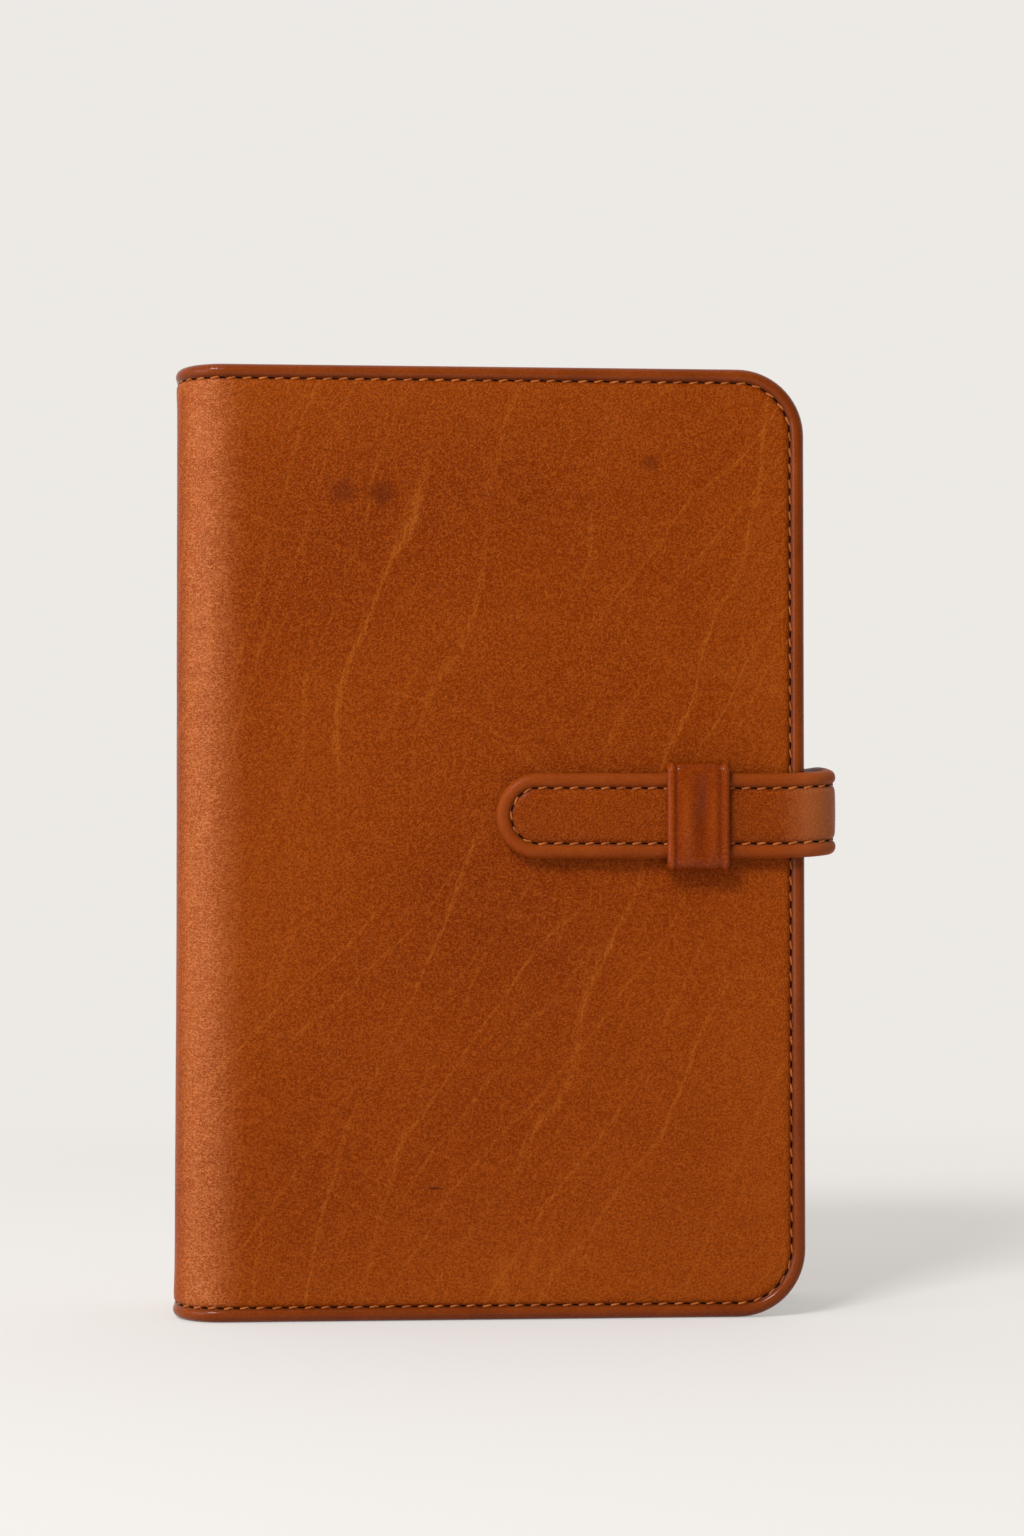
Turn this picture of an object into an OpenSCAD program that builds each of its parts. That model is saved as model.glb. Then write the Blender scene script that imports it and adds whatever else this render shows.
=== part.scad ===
// Six-ring planner in leather, closed by a strap under a keeper, standing on its lower edge.
// Millimetres, +Z up. The spine looks towards -X and the front cover towards -Y.

/* [Cover] */
// Height of the cover
cover_h = 190; // [186:1:230]
// Width from the back of the spine to the fore edge
cover_w = 126; // [125:1:160]
// Thickness of the closed planner over both covers
cover_t = 36; // [35:0.5:48]
// Radius of the two cover corners at the fore edge
corner_r = 13.5; // [8:0.5:24]
// Outer radius of the leather where it bends from cover to spine
fold_r = 10; // [8:0.5:10.5]
// Thickness of the outer leather
leather_t = 1.4; // [1:0.1:1.8]
// Thickness of the stiffener boards
board_t = 1.8; // [1.4:0.1:2]
// Thickness of the lining
lining_t = 0.8; // [0.6:0.1:1]
// Width of the solid turned edge
edge_w = 4.4; // [4:0.1:6]
// Rounding of the turned edge
edge_round = 1.4; // [0.6:0.1:1.5]
// Distance from the edge to the stitch line
stitch_in = 3.1; // [2.4:0.1:3.4]
// Radius of the groove pressed in by the stitches
stitch_groove_r = 0.45; // [0.2:0.05:0.5]

/* [Pockets] */
// Thickness of the pocket leather
pocket_t = 0.8; // [0.5:0.1:0.9]
// Width of the pockets inside the covers
pocket_w = 90; // [80:1:92]
// Margin between the pockets and the edge of the cover
pocket_margin = 6; // [5:0.5:8]
// Height of the lowest card pocket
card_h = 60; // [45:1:70]
// Step from one card pocket to the next
card_step = 20; // [10:1:24]
// Height of the card pockets' lower edge above the base
card_z = 26; // [12:1:36]
// Radius of the thumb notch in a pocket edge
thumb_r = 9; // [5:0.5:9.5]

/* [Strap and keeper] */
// Width of the strap
strap_w = 17; // [10:0.5:24]
// Thickness of the strap's outer leather
strap_outer_t = 1.4; // [0.8:0.1:1.8]
// Thickness of the strap's lining
strap_lining_t = 1.2; // [0.6:0.1:1.4]
// Height of the strap's centre line above the base
strap_z = 100; // [60:1:130]
// How far the strap stands out beyond the fore edge
strap_reach = 5.8; // [5.5:0.1:9]
// Outer radius of the strap's two bends
strap_bend_r = 6.5; // [5:0.1:7.5]
// Length of the tongue on the front cover, measured from the fore edge
tongue_l = 62.3; // [40:0.1:80]
// Length of the strap sewn to the back cover, measured from the fore edge
anchor_l = 45; // [30:1:70]
// Clearance between the strap and what it slides on
strap_gap = 0.3; // [0.2:0.05:0.5]
// Width of the keeper
keeper_w = 12.6; // [8:0.1:18]
// Thickness of the keeper's leather
keeper_t = 1.4; // [1:0.1:1.8]
// Clearance between the strap's edges and the keeper
keeper_side_gap = 0.5; // [0.3:0.1:1]
// Distance from the fore edge to the middle of the keeper
keeper_in = 22.1; // [15:0.1:32]
// Rounding of the keeper's outer corners
keeper_round = 1.9; // [1:0.1:2.4]

/* [Ring mechanism] */
// Radius from a ring's centre to the middle of its wire
ring_r = 10.1; // [9.9:0.05:10.3]
// Diameter of the ring wire
wire_d = 2; // [1.8:0.05:2.05]
// Spacing of the rings within a group of three
ring_pitch = 19; // [18:0.5:20]
// Spacing between the two groups of three
ring_group_gap = 51; // [48:0.5:54]
// Distance of a ring's foot from the middle of the spine
ring_foot_y = 3.6; // [3.3:0.05:3.7]
// Gap between two closed ring tips
tip_gap = 0.2; // [0.15:0.05:0.4]
// Radius of the pin in a ring tip
tip_pin_r = 0.45; // [0.3:0.05:0.5]
// Length of the pin in a ring tip
tip_pin_l = 0.8; // [0.5:0.1:1]
// Length of the cover plate
plate_l = 158; // [156:1:162]
// Width of the cover plate
plate_w = 14; // [13.8:0.1:14.4]
// Height of the cover plate
plate_h = 5; // [4.9:0.1:5.1]
// Radius of the cover plate's arched top
plate_arch_r = 9; // [8.8:0.1:9.4]
// Thickness of the cover plate's sheet
plate_t = 0.8; // [0.6:0.05:0.8]
// Clearance of the ring slots in the cover plate
slot_gap = 0.5; // [0.45:0.05:0.6]
// Thickness of a leaf plate
leaf_t = 0.9; // [0.8:0.05:0.95]
// Height of the leaf plates above the spine's lining
leaf_h = 1.1; // [1.1:0.05:1.2]
// Distance from the middle of the spine to a leaf plate's pivot edge
leaf_pivot_y = 5; // [4.95:0.05:5.1]
// Gap between the two leaf plates
leaf_gap = 0.3; // [0.3:0.05:0.6]
// Height of a lever's pin above the spine's lining
lever_h = 1.9; // [1.9:0.05:2]
// Distance from the plate's end to a lever's pin
lever_in = 3.5; // [3.3:0.1:4]
// Length of a lever from its pin to its tip
lever_l = 11.5; // [9:0.5:12]
// Width of a lever's thumb pad
lever_w = 9; // [7:0.5:10]
// Thickness of a lever
lever_t = 1.2; // [1:0.05:1.25]
// Slope of a lever with the rings closed
lever_slope = 10; // [8:0.5:11]
// Radius of a lever's pin
pin_r = 0.7; // [0.6:0.05:0.75]
// Distance from the middle of the plate to a rivet
rivet_z = 54; // [52:0.5:56]
// Radius of a rivet's shank
rivet_r = 1.25; // [1:0.05:1.3]
// Radius of a rivet's head
rivet_head_r = 2.2; // [1.8:0.1:2.3]
// Height of a rivet's head
rivet_head_h = 0.9; // [0.6:0.1:0.9]

/* [Pages] */
// Width of a page
page_w = 95; // [85:0.5:95]
// Height of a page
page_h = 171; // [164:1:172]
// Diameter of the punched holes
hole_d = 6.4; // [6.35:0.05:6.6]
// How far the pages hang down on the rings
page_drop = 1.25; // [0.9:0.05:1.3]
// Distance from the inner edge of a page to the middle of its holes
hole_in = 5.5; // [5:0.1:5.6]
// Thickness of one section of pages
section_t = 1.5; // [1:0.05:1.55]
// Thickness of a divider
divider_t = 0.3; // [0.2:0.05:0.35]
// Thickness of a fly leaf
fly_leaf_t = 0.4; // [0.2:0.05:0.45]
// Thickness of the page marker
marker_t = 0.4; // [0.3:0.05:0.45]
// Width of the page marker
marker_w = 32; // [20:1:60]
// Height by which the page marker stands above and below the pages
marker_over = 3.5; // [1:0.5:4]
// How far a divider's tab stands out beyond the pages
tab_out = 6; // [3:0.5:6]
// Height of a divider's tab
tab_h = 24; // [12:1:28]
// Rounding of the page corners
page_round = 5; // [2:0.5:8]
// Gap between the front and the back half of the pages
page_gap = 0.4; // [0.3:0.05:0.6]

/* [Hidden] */
$fn = 72;

leather_colour = "#9a5a2c";
lining_colour = "#b98a55";
board_colour = "#8a8378";
steel_colour = "#c9ccd0";
paper_colour = "#f1ead8";
divider_colour = "#c9b28a";
marker_colour = "#b7c6cc";

fit_gap = 0.15;
bore_gap = 0.08;
press_gap = 0.03;

strap_t = strap_outer_t + strap_lining_t;
keeper_inner = 2 * strap_gap + strap_t;
keeper_rise = keeper_inner + keeper_t;
keeper_h = strap_w + 2 * (keeper_side_gap + keeper_t);

x_spine = -(cover_w + strap_reach) / 2;
x_fore = x_spine + cover_w;
x_fold = x_spine + fold_r;
y_mid = (keeper_rise - strap_t) / 2;
y_face = cover_t / 2;
y_fold = y_face - fold_r;

panel_t = leather_t + board_t + lining_t;
edge_r = min(edge_round, panel_t / 2 - 0.2);
y_in = y_face - panel_t;
x_lining = x_spine + panel_t;
mid_z = cover_h / 2;

pocket_x1 = x_fore - pocket_margin;
pocket_x0 = pocket_x1 - pocket_w;
pocket_mid_x = (pocket_x0 + pocket_x1) / 2;

x_bend = x_fore + strap_reach - strap_bend_r;
x_tip = x_fore - tongue_l;
keeper_x = x_fore - keeper_in;

wire_r = wire_d / 2;
leaf_top = leaf_h + leaf_t;
ring_h = leaf_top + sqrt(ring_r * ring_r - ring_foot_y * ring_foot_y);
ring_x = x_lining + ring_h;
ring_offsets = [for (s = [-1, 1], i = [0 : 2]) s * (ring_group_gap / 2 + i * ring_pitch)];
tip_turn = asin(tip_gap / 2 / ring_r);
lever_z = plate_l / 2 - lever_in;
hub_r = lever_h - 0.6;
arm_low = 0.2;
arm_t = 0.6;
arm_l = hub_r + 1.9;
arm_w = 3.6;
leaf_l = 2 * (lever_z - hub_r - 0.5);
rivet_seat = plate_h - 0.3;
rivet_foot_t = 0.5;
rivet_foot_r = rivet_head_r + 0.4;

page_z = (cover_h - page_h) / 2 - page_drop;
page_x0 = ring_x + ring_r - hole_in;
page_x1 = page_x0 + page_w;
y_marker = page_gap / 2;
y_section_3 = y_marker + marker_t;
y_divider_2 = y_section_3 + section_t;
y_section_2 = y_divider_2 + divider_t;
y_divider_1 = y_section_2 + section_t;
y_section_1 = y_divider_1 + divider_t;
y_fly_front = y_section_1 + section_t;
y_section_4 = page_gap / 2;
y_divider_3 = y_section_4 + section_t;
y_section_5 = y_divider_3 + divider_t;
y_divider_4 = y_section_5 + section_t;
y_section_6 = y_divider_4 + divider_t;
y_fly_back = y_section_6 + section_t;

// Everything is drawn round the middle plane of the closed planner and set down by this shift.
module place() {
    translate([0, y_mid, 0]) children();
}

// The back half of the planner mirrors the front half.
module back_side() {
    mirror([0, 1, 0]) children();
}

// An upright plate on the front side, between the distances near and near + t from the middle plane.
module upright(near, t) {
    translate([0, -near, 0]) rotate([90, 0, 0]) linear_extrude(t) children();
}

// A rectangle with its two corners at the fore edge rounded.
module fore_rounded(x0, x1, z0, z1, r) {
    translate([x0, z0]) square([x1 - r - x0, z1 - z0]);
    translate([x0, z0 + r]) square([x1 - x0, z1 - z0 - 2 * r]);
    for (z = [z0 + r, z1 - r])
        translate([x1 - r, z]) circle(r);
}

module cover_shape(x0, inset) {
    fore_rounded(x0, x_fore - inset, inset, cover_h - inset, corner_r - inset);
}

// Section of the turned edge: across from the rim, down from the outer face.
module edge_section() {
    translate([edge_r, 0]) square([edge_w - edge_r, panel_t]);
    translate([0, edge_r]) square([edge_w, panel_t - 2 * edge_r]);
    for (d = [edge_r, panel_t - edge_r])
        translate([edge_r, d]) circle(edge_r);
}

module groove_section() {
    translate([stitch_in, 0]) circle(stitch_groove_r);
}

// Carries a section along the top, the fore edge and the bottom of the front cover.
module along_edge() {
    translate([x_fore, -y_face, corner_r])
        mirror([1, 0, 0]) linear_extrude(cover_h - 2 * corner_r) children();
    for (m = [0, 1])
        translate([0, 0, m * cover_h]) mirror([0, 0, m]) {
            translate([x_fold, -y_face, cover_h])
                rotate([0, 90, 0]) linear_extrude(x_fore - corner_r - x_fold) children();
            translate([x_fore - corner_r, -y_face, cover_h - corner_r])
                mirror([0, 1, 0]) rotate([90, 0, 0]) rotate_extrude(angle = 90)
                    translate([corner_r, 0]) mirror([1, 0]) children();
        }
}

module cover_leather() {
    difference() {
        union() {
            upright(y_face - leather_t, leather_t) cover_shape(x_fold, edge_w - 1);
            along_edge() edge_section();
        }
        along_edge() groove_section();
    }
}

// Radius and height section of the leather in a bend, with the turned edge at both ends.
module fold_section() {
    difference() {
        union() {
            translate([fold_r - leather_t, edge_w - 1]) square([leather_t, cover_h - 2 * edge_w + 2]);
            translate([fold_r, cover_h]) mirror([1, 1]) edge_section();
            translate([fold_r, 0]) rotate(90) edge_section();
        }
        for (z = [stitch_in, cover_h - stitch_in])
            translate([fold_r, z]) circle(stitch_groove_r);
    }
}

module fold_leather() {
    translate([x_fold, -y_fold, 0]) rotate(180) rotate_extrude(angle = 90) fold_section();
}

module fold_lining() {
    translate([x_fold, -y_fold, 0]) rotate(180) rotate_extrude(angle = 90)
        translate([fold_r - leather_t - lining_t, edge_w + fit_gap])
            square([lining_t, cover_h - 2 * (edge_w + fit_gap)]);
}

module cover_board() {
    upright(y_in + lining_t, board_t) cover_shape(x_fold + fit_gap, edge_w + fit_gap);
}

module cover_lining() {
    upright(y_in, lining_t) cover_shape(x_fold + fit_gap, edge_w + fit_gap);
}

module front_leather() {
    color(leather_colour) place() cover_leather();
}

module back_leather() {
    color(leather_colour) place() back_side() cover_leather();
}

module front_fold_leather() {
    color(leather_colour) place() fold_leather();
}

module back_fold_leather() {
    color(leather_colour) place() back_side() fold_leather();
}

module front_fold_lining() {
    color(lining_colour) place() fold_lining();
}

module back_fold_lining() {
    color(lining_colour) place() back_side() fold_lining();
}

module spine_leather() {
    color(leather_colour) place()
        translate([x_spine, y_fold, 0]) rotate([90, 0, 0]) linear_extrude(2 * y_fold)
            difference() {
                union() {
                    translate([0, edge_w - 1]) square([leather_t, cover_h - 2 * edge_w + 2]);
                    translate([0, cover_h]) rotate(-90) edge_section();
                    mirror([1, -1]) edge_section();
                }
                for (z = [stitch_in, cover_h - stitch_in])
                    translate([0, z]) circle(stitch_groove_r);
            }
}

module front_board() {
    color(board_colour) place() cover_board();
}

module back_board() {
    color(board_colour) place() back_side() cover_board();
}

module front_lining() {
    color(lining_colour) place() cover_lining();
}

module back_lining() {
    color(lining_colour) place() back_side() cover_lining();
}

// A strip on the inner side of the spine, as wide and as high as the spine leaves room for.
module spine_strip(x0, t) {
    translate([x0, -y_fold + fit_gap, edge_w + fit_gap])
        cube([t, 2 * (y_fold - fit_gap), cover_h - 2 * (edge_w + fit_gap)]);
}

// A round bar across the thickness of the spine at each rivet.
module at_rivets(x0, x1, r) {
    for (s = [-1, 1])
        translate([x0, 0, mid_z + s * rivet_z]) rotate([0, 90, 0]) cylinder(h = x1 - x0, r = r);
}

module spine_board() {
    color(board_colour) place()
        difference() {
            spine_strip(x_spine + leather_t, board_t);
            at_rivets(x_spine, x_lining, rivet_r + press_gap);
            at_rivets(x_spine, x_spine + leather_t + rivet_foot_t, rivet_foot_r + press_gap);
        }
}

module spine_lining() {
    color(lining_colour) place()
        difference() {
            spine_strip(x_lining - lining_t, lining_t);
            at_rivets(x_spine, x_lining + 1, rivet_r + press_gap);
        }
}

module front_slip_pocket() {
    color(lining_colour) place()
        upright(y_in - pocket_t, pocket_t)
            difference() {
                fore_rounded(pocket_x0, pocket_x1, pocket_margin, cover_h - pocket_margin,
                    corner_r - pocket_margin);
                translate([pocket_x0 - thumb_r, mid_z + card_h]) circle(2 * thumb_r);
            }
}

module back_slip_pocket() {
    color(lining_colour) place() back_side()
        upright(y_in - pocket_t, pocket_t)
            difference() {
                fore_rounded(pocket_x0, pocket_x1, pocket_margin, cover_h - pocket_margin,
                    corner_r - pocket_margin);
                translate([pocket_x0 - thumb_r, mid_z]) circle(2 * thumb_r);
            }
}

// One card pocket: level 0 lies on the slip pocket and is the tallest.
module card_pocket(level) {
    top = card_z + card_h + (2 - level) * card_step;
    color(lining_colour) place()
        upright(y_in - (level + 2) * pocket_t, pocket_t)
            difference() {
                translate([pocket_x0 + 1, card_z]) square([pocket_w - 2, top - card_z]);
                translate([pocket_mid_x, top]) circle(thumb_r);
            }
}

module card_pocket_upper() {
    card_pocket(0);
}

module card_pocket_middle() {
    card_pocket(1);
}

module card_pocket_lower() {
    card_pocket(2);
}

// Band over the strap: outwards from the cover's face, then along the height of the cover.
module keeper_section() {
    difference() {
        union() {
            translate([0, -keeper_h / 2]) square([keeper_rise - keeper_round, keeper_h]);
            translate([0, -keeper_h / 2 + keeper_round]) square([keeper_rise, keeper_h - 2 * keeper_round]);
            for (s = [-1, 1])
                translate([keeper_rise - keeper_round, s * (keeper_h / 2 - keeper_round)]) circle(keeper_round);
        }
        translate([-1, -keeper_h / 2 + keeper_t]) square([keeper_inner + 1, keeper_h - 2 * keeper_t]);
    }
}

module keeper_loop() {
    color(leather_colour) place()
        translate([keeper_x + keeper_w / 2, -y_face, strap_z])
            rotate([90, 0, -90]) linear_extrude(keeper_w) keeper_section();
}

// One layer of the strap lies between the depths d0 and d1 under its outer face.
module tongue_layer(d0, d1) {
    upright(y_face + strap_gap + strap_t - d1, d1 - d0) {
        translate([x_tip + strap_w / 2, strap_z - strap_w / 2]) square([x_bend - x_tip - strap_w / 2, strap_w]);
        translate([x_tip + strap_w / 2, strap_z]) circle(strap_w / 2);
    }
}

module bend_layer(d0, d1) {
    rotate_extrude(angle = 90)
        translate([strap_bend_r - d1, strap_z - strap_w / 2]) square([d1 - d0, strap_w]);
}

module front_bend_layer(d0, d1) {
    translate([x_bend, -(y_face + strap_gap + strap_t - strap_bend_r), 0]) rotate(-90) bend_layer(d0, d1);
}

module back_bend_layer(d0, d1) {
    translate([x_bend, y_face + strap_t - strap_bend_r, 0]) bend_layer(d0, d1);
}

module side_layer(d0, d1) {
    y0 = -(y_face + strap_gap + strap_t - strap_bend_r);
    y1 = y_face + strap_t - strap_bend_r;
    translate([x_fore + strap_reach - d1, y0, strap_z - strap_w / 2]) cube([d1 - d0, y1 - y0, strap_w]);
}

module anchor_layer(d0, d1) {
    x0 = x_fore - anchor_l;
    back_side() upright(y_face + strap_t - d1, d1 - d0) {
        translate([x0 + strap_w / 2, strap_z - strap_w / 2]) square([x_bend - x0 - strap_w / 2, strap_w]);
        translate([x0 + strap_w / 2, strap_z]) circle(strap_w / 2);
    }
}

module strap_tongue() {
    color(leather_colour) place() tongue_layer(0, strap_outer_t);
}

module strap_tongue_lining() {
    color(lining_colour) place() tongue_layer(strap_outer_t, strap_t);
}

module strap_bend_front() {
    color(leather_colour) place() front_bend_layer(0, strap_outer_t);
}

module strap_bend_front_lining() {
    color(lining_colour) place() front_bend_layer(strap_outer_t, strap_t);
}

module strap_side() {
    color(leather_colour) place() side_layer(0, strap_outer_t);
}

module strap_side_lining() {
    color(lining_colour) place() side_layer(strap_outer_t, strap_t);
}

module strap_bend_back() {
    color(leather_colour) place() back_bend_layer(0, strap_outer_t);
}

module strap_bend_back_lining() {
    color(lining_colour) place() back_bend_layer(strap_outer_t, strap_t);
}

module strap_anchor() {
    color(leather_colour) place() anchor_layer(0, strap_outer_t);
}

module strap_anchor_lining() {
    color(lining_colour) place() anchor_layer(strap_outer_t, strap_t);
}

// Outline of the arched plate, drawn smaller by the given amount for its inner side.
module plate_outline(less, down) {
    intersection() {
        translate([x_lining + plate_h - plate_arch_r, 0]) circle(plate_arch_r - less);
        translate([x_lining - down, less - plate_w / 2]) square([plate_h + down, plate_w - 2 * less]);
    }
}

module at_lever_pins(r, l) {
    for (s = [-1, 1])
        translate([x_lining + lever_h, l / 2, mid_z + s * lever_z]) rotate([90, 0, 0]) cylinder(h = l, r = r);
}

// Round tube along the closed rings.
module ring_tubes(r) {
    for (z = ring_offsets)
        translate([ring_x, 0, mid_z + z]) rotate_extrude() translate([ring_r, 0]) circle(r);
}

module ring_plate() {
    color(steel_colour) place()
        difference() {
            translate([0, 0, mid_z - plate_l / 2]) linear_extrude(plate_l)
                difference() {
                    plate_outline(0, 0);
                    plate_outline(plate_t, 1);
                }
            ring_tubes(wire_r + slot_gap);
            at_rivets(x_lining, x_lining + plate_h + 1, rivet_r + press_gap);
            at_rivets(x_lining + rivet_seat, x_lining + plate_h + 1, rivet_head_r + fit_gap);
            at_lever_pins(pin_r + press_gap, plate_w + 2);
        }
}

// One leaf plate with its rounded pivot edge, cut out round the rivets.
module leaf() {
    difference() {
        translate([0, 0, mid_z - leaf_l / 2]) linear_extrude(leaf_l) {
            translate([x_lining + leaf_h, -leaf_pivot_y]) square([leaf_t, leaf_pivot_y - leaf_gap / 2]);
            translate([x_lining + leaf_h + leaf_t / 2, -leaf_pivot_y]) circle(leaf_t / 2);
        }
        at_rivets(x_lining, x_lining + plate_h, rivet_r + 0.65);
    }
}

module leaf_front() {
    color(steel_colour) place() leaf();
}

module leaf_back() {
    color(steel_colour) place() back_side() leaf();
}

// Six half rings that stand on a leaf plate and reach to the tip.
module half_rings() {
    sweep = 176 - tip_turn;
    for (z = ring_offsets)
        translate([ring_x, 0, mid_z + z])
            difference() {
                rotate(-sweep - tip_turn) rotate_extrude(angle = sweep) translate([ring_r, 0]) circle(wire_r);
                translate([leaf_top - ring_h - 10, -ring_r, -5]) cube([10, 2 * ring_r, 10]);
            }
}

// The small round pins that lock two ring tips together.
module tip_pins(r, y0, l) {
    for (z = ring_offsets)
        translate([ring_x + ring_r, y0, mid_z + z]) rotate([-90, 0, 0]) cylinder(h = l, r = r);
}

module rings_front() {
    color(steel_colour) place() {
        half_rings();
        tip_pins(tip_pin_r, -wire_r, wire_r + tip_pin_l - tip_gap / 2);
    }
}

module rings_back() {
    color(steel_colour) place()
        difference() {
            back_side() half_rings();
            tip_pins(tip_pin_r + 0.25, -1, 1 + tip_pin_l + 0.2);
        }
}

// Lever at the top end: thumb pad outside the plate, arm under the leaf plates inside it.
module lever() {
    translate([x_lining + lever_h, 0, mid_z + lever_z])
        difference() {
            union() {
                translate([0, arm_w / 2, 0]) rotate([90, 0, 0]) linear_extrude(arm_w) {
                    circle(hub_r);
                    translate([arm_low - lever_h, -arm_l]) square([arm_t, arm_l]);
                    translate([arm_low - lever_h, -hub_r]) square([lever_h - arm_low, hub_r]);
                    rotate(-lever_slope) translate([-lever_t / 2, 0]) square([lever_t, lever_in + 2]);
                }
                translate([0, lever_w / 2, 0]) rotate([90, 0, 0]) linear_extrude(lever_w)
                    rotate(-lever_slope) {
                        translate([-lever_t / 2, lever_in + 1]) square([lever_t, lever_l - lever_in - 1]);
                        translate([0, lever_l]) circle(lever_t / 2);
                    }
            }
            rotate([90, 0, 0]) cylinder(h = plate_w, r = pin_r + bore_gap, center = true);
        }
}

module lever_top() {
    color(steel_colour) place() lever();
}

module lever_bottom() {
    color(steel_colour) place() translate([0, 0, cover_h]) mirror([0, 0, 1]) lever();
}

module lever_pins() {
    color(steel_colour) place() at_lever_pins(pin_r, plate_w - 0.8);
}

// Half section of a rivet: foot in the spine board, shank through lining and plate, domed head.
module rivet_section() {
    dome_r = (rivet_head_r * rivet_head_r + rivet_head_h * rivet_head_h) / (2 * rivet_head_h);
    seat = panel_t - leather_t + rivet_seat;
    square([rivet_foot_r, rivet_foot_t]);
    square([rivet_r, seat + rivet_head_h / 2]);
    translate([0, seat])
        intersection() {
            translate([0, rivet_head_h - dome_r]) circle(dome_r);
            square([rivet_head_r, rivet_head_h]);
        }
}

module rivets() {
    color(steel_colour) place()
        for (s = [-1, 1])
            translate([x_spine + leather_t, 0, mid_z + s * rivet_z])
                rotate([0, 90, 0]) rotate_extrude() rivet_section();
}

// Sheets between two distances from the middle plane, hanging on the closed rings.
module sheets(near, t, w, over) {
    intersection() {
        translate([0, 0, page_z - over]) linear_extrude(page_h + 2 * over)
            difference() {
                union() {
                    translate([ring_x, -near - t]) square([w - hole_in, t]);
                    intersection() {
                        translate([ring_x + w - hole_in, 0]) circle(ring_r);
                        translate([ring_x, -near - t]) square([w + ring_r, t]);
                    }
                }
                translate([ring_x - hole_in, 0]) circle(ring_r);
            }
        upright(near - 1, t + 2)
            fore_rounded(ring_x, page_x0 + w, page_z - over, page_z + page_h + over, page_round);
    }
}

module punched() {
    difference() {
        children();
        translate([0, 0, -page_drop]) ring_tubes(hole_d / 2);
    }
}

module page_section_1() {
    color(paper_colour) place() punched() sheets(y_section_1, section_t, page_w, 0);
}

module page_section_2() {
    color(paper_colour) place() punched() sheets(y_section_2, section_t, page_w, 0);
}

module page_section_3() {
    color(paper_colour) place() punched() sheets(y_section_3, section_t, page_w, 0);
}

module page_section_4() {
    color(paper_colour) place() punched() back_side() sheets(y_section_4, section_t, page_w, 0);
}

module page_section_5() {
    color(paper_colour) place() punched() back_side() sheets(y_section_5, section_t, page_w, 0);
}

module page_section_6() {
    color(paper_colour) place() punched() back_side() sheets(y_section_6, section_t, page_w, 0);
}

// A divider with its tab; the tabs of step 0 to 3 follow each other down the fore edge.
module divider(near, step) {
    pitch = (page_h - 2 * page_round - tab_h) / 3;
    z1 = page_z + page_h - page_round - step * pitch;
    sheets(near, divider_t, page_w, 0);
    upright(near, divider_t) fore_rounded(page_x1 - page_round, page_x1 + tab_out, z1 - tab_h, z1, 2);
}

module divider_1() {
    color(divider_colour) place() punched() divider(y_divider_1, 0);
}

module divider_2() {
    color(divider_colour) place() punched() divider(y_divider_2, 1);
}

module divider_3() {
    color(divider_colour) place() punched() back_side() divider(y_divider_3, 2);
}

module divider_4() {
    color(divider_colour) place() punched() back_side() divider(y_divider_4, 3);
}

module fly_leaf_front() {
    color(divider_colour) place() punched() sheets(y_fly_front, fly_leaf_t, page_w, 0);
}

module fly_leaf_back() {
    color(divider_colour) place() punched() back_side() sheets(y_fly_back, fly_leaf_t, page_w, 0);
}

// The marker is slit from each hole to its inner edge so that it snaps on the closed rings.
module page_marker() {
    color(marker_colour) place()
        difference() {
            punched() sheets(y_marker, marker_t, marker_w, marker_over);
            for (z = ring_offsets)
                translate([ring_x, -y_marker - marker_t - 1, mid_z + z - page_drop - wire_r])
                    cube([ring_r, marker_t + 2, wire_d]);
        }
}

front_leather();
spine_leather();
back_leather();
front_fold_leather();
back_fold_leather();
front_fold_lining();
back_fold_lining();
front_board();
spine_board();
back_board();
front_lining();
spine_lining();
back_lining();
front_slip_pocket();
back_slip_pocket();
card_pocket_upper();
card_pocket_middle();
card_pocket_lower();
keeper_loop();
strap_tongue();
strap_bend_front();
strap_side();
strap_bend_back();
strap_anchor();
strap_tongue_lining();
strap_bend_front_lining();
strap_side_lining();
strap_bend_back_lining();
strap_anchor_lining();
ring_plate();
leaf_front();
leaf_back();
rings_front();
rings_back();
lever_top();
lever_bottom();
lever_pins();
rivets();
page_section_1();
page_section_2();
page_section_3();
page_section_4();
page_section_5();
page_section_6();
divider_1();
divider_2();
divider_3();
divider_4();
fly_leaf_front();
fly_leaf_back();
page_marker();
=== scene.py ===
import math

import bpy
import numpy as np
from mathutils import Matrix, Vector

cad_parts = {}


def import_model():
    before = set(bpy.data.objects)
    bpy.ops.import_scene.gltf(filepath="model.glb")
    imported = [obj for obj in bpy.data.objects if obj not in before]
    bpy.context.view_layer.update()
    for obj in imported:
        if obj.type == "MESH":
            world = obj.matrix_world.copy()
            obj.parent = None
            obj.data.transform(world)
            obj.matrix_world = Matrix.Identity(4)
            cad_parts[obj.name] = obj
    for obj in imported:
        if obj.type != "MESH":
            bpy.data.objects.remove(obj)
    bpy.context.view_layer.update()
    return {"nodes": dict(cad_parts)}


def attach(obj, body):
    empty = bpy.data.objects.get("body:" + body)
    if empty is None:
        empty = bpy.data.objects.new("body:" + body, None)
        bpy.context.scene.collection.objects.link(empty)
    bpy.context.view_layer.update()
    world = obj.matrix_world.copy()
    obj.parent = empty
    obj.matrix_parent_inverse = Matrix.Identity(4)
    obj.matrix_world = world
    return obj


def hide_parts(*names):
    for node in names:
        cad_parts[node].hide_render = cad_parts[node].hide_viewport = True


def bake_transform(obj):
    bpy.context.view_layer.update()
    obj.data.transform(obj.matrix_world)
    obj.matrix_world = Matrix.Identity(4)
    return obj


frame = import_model()

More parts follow.
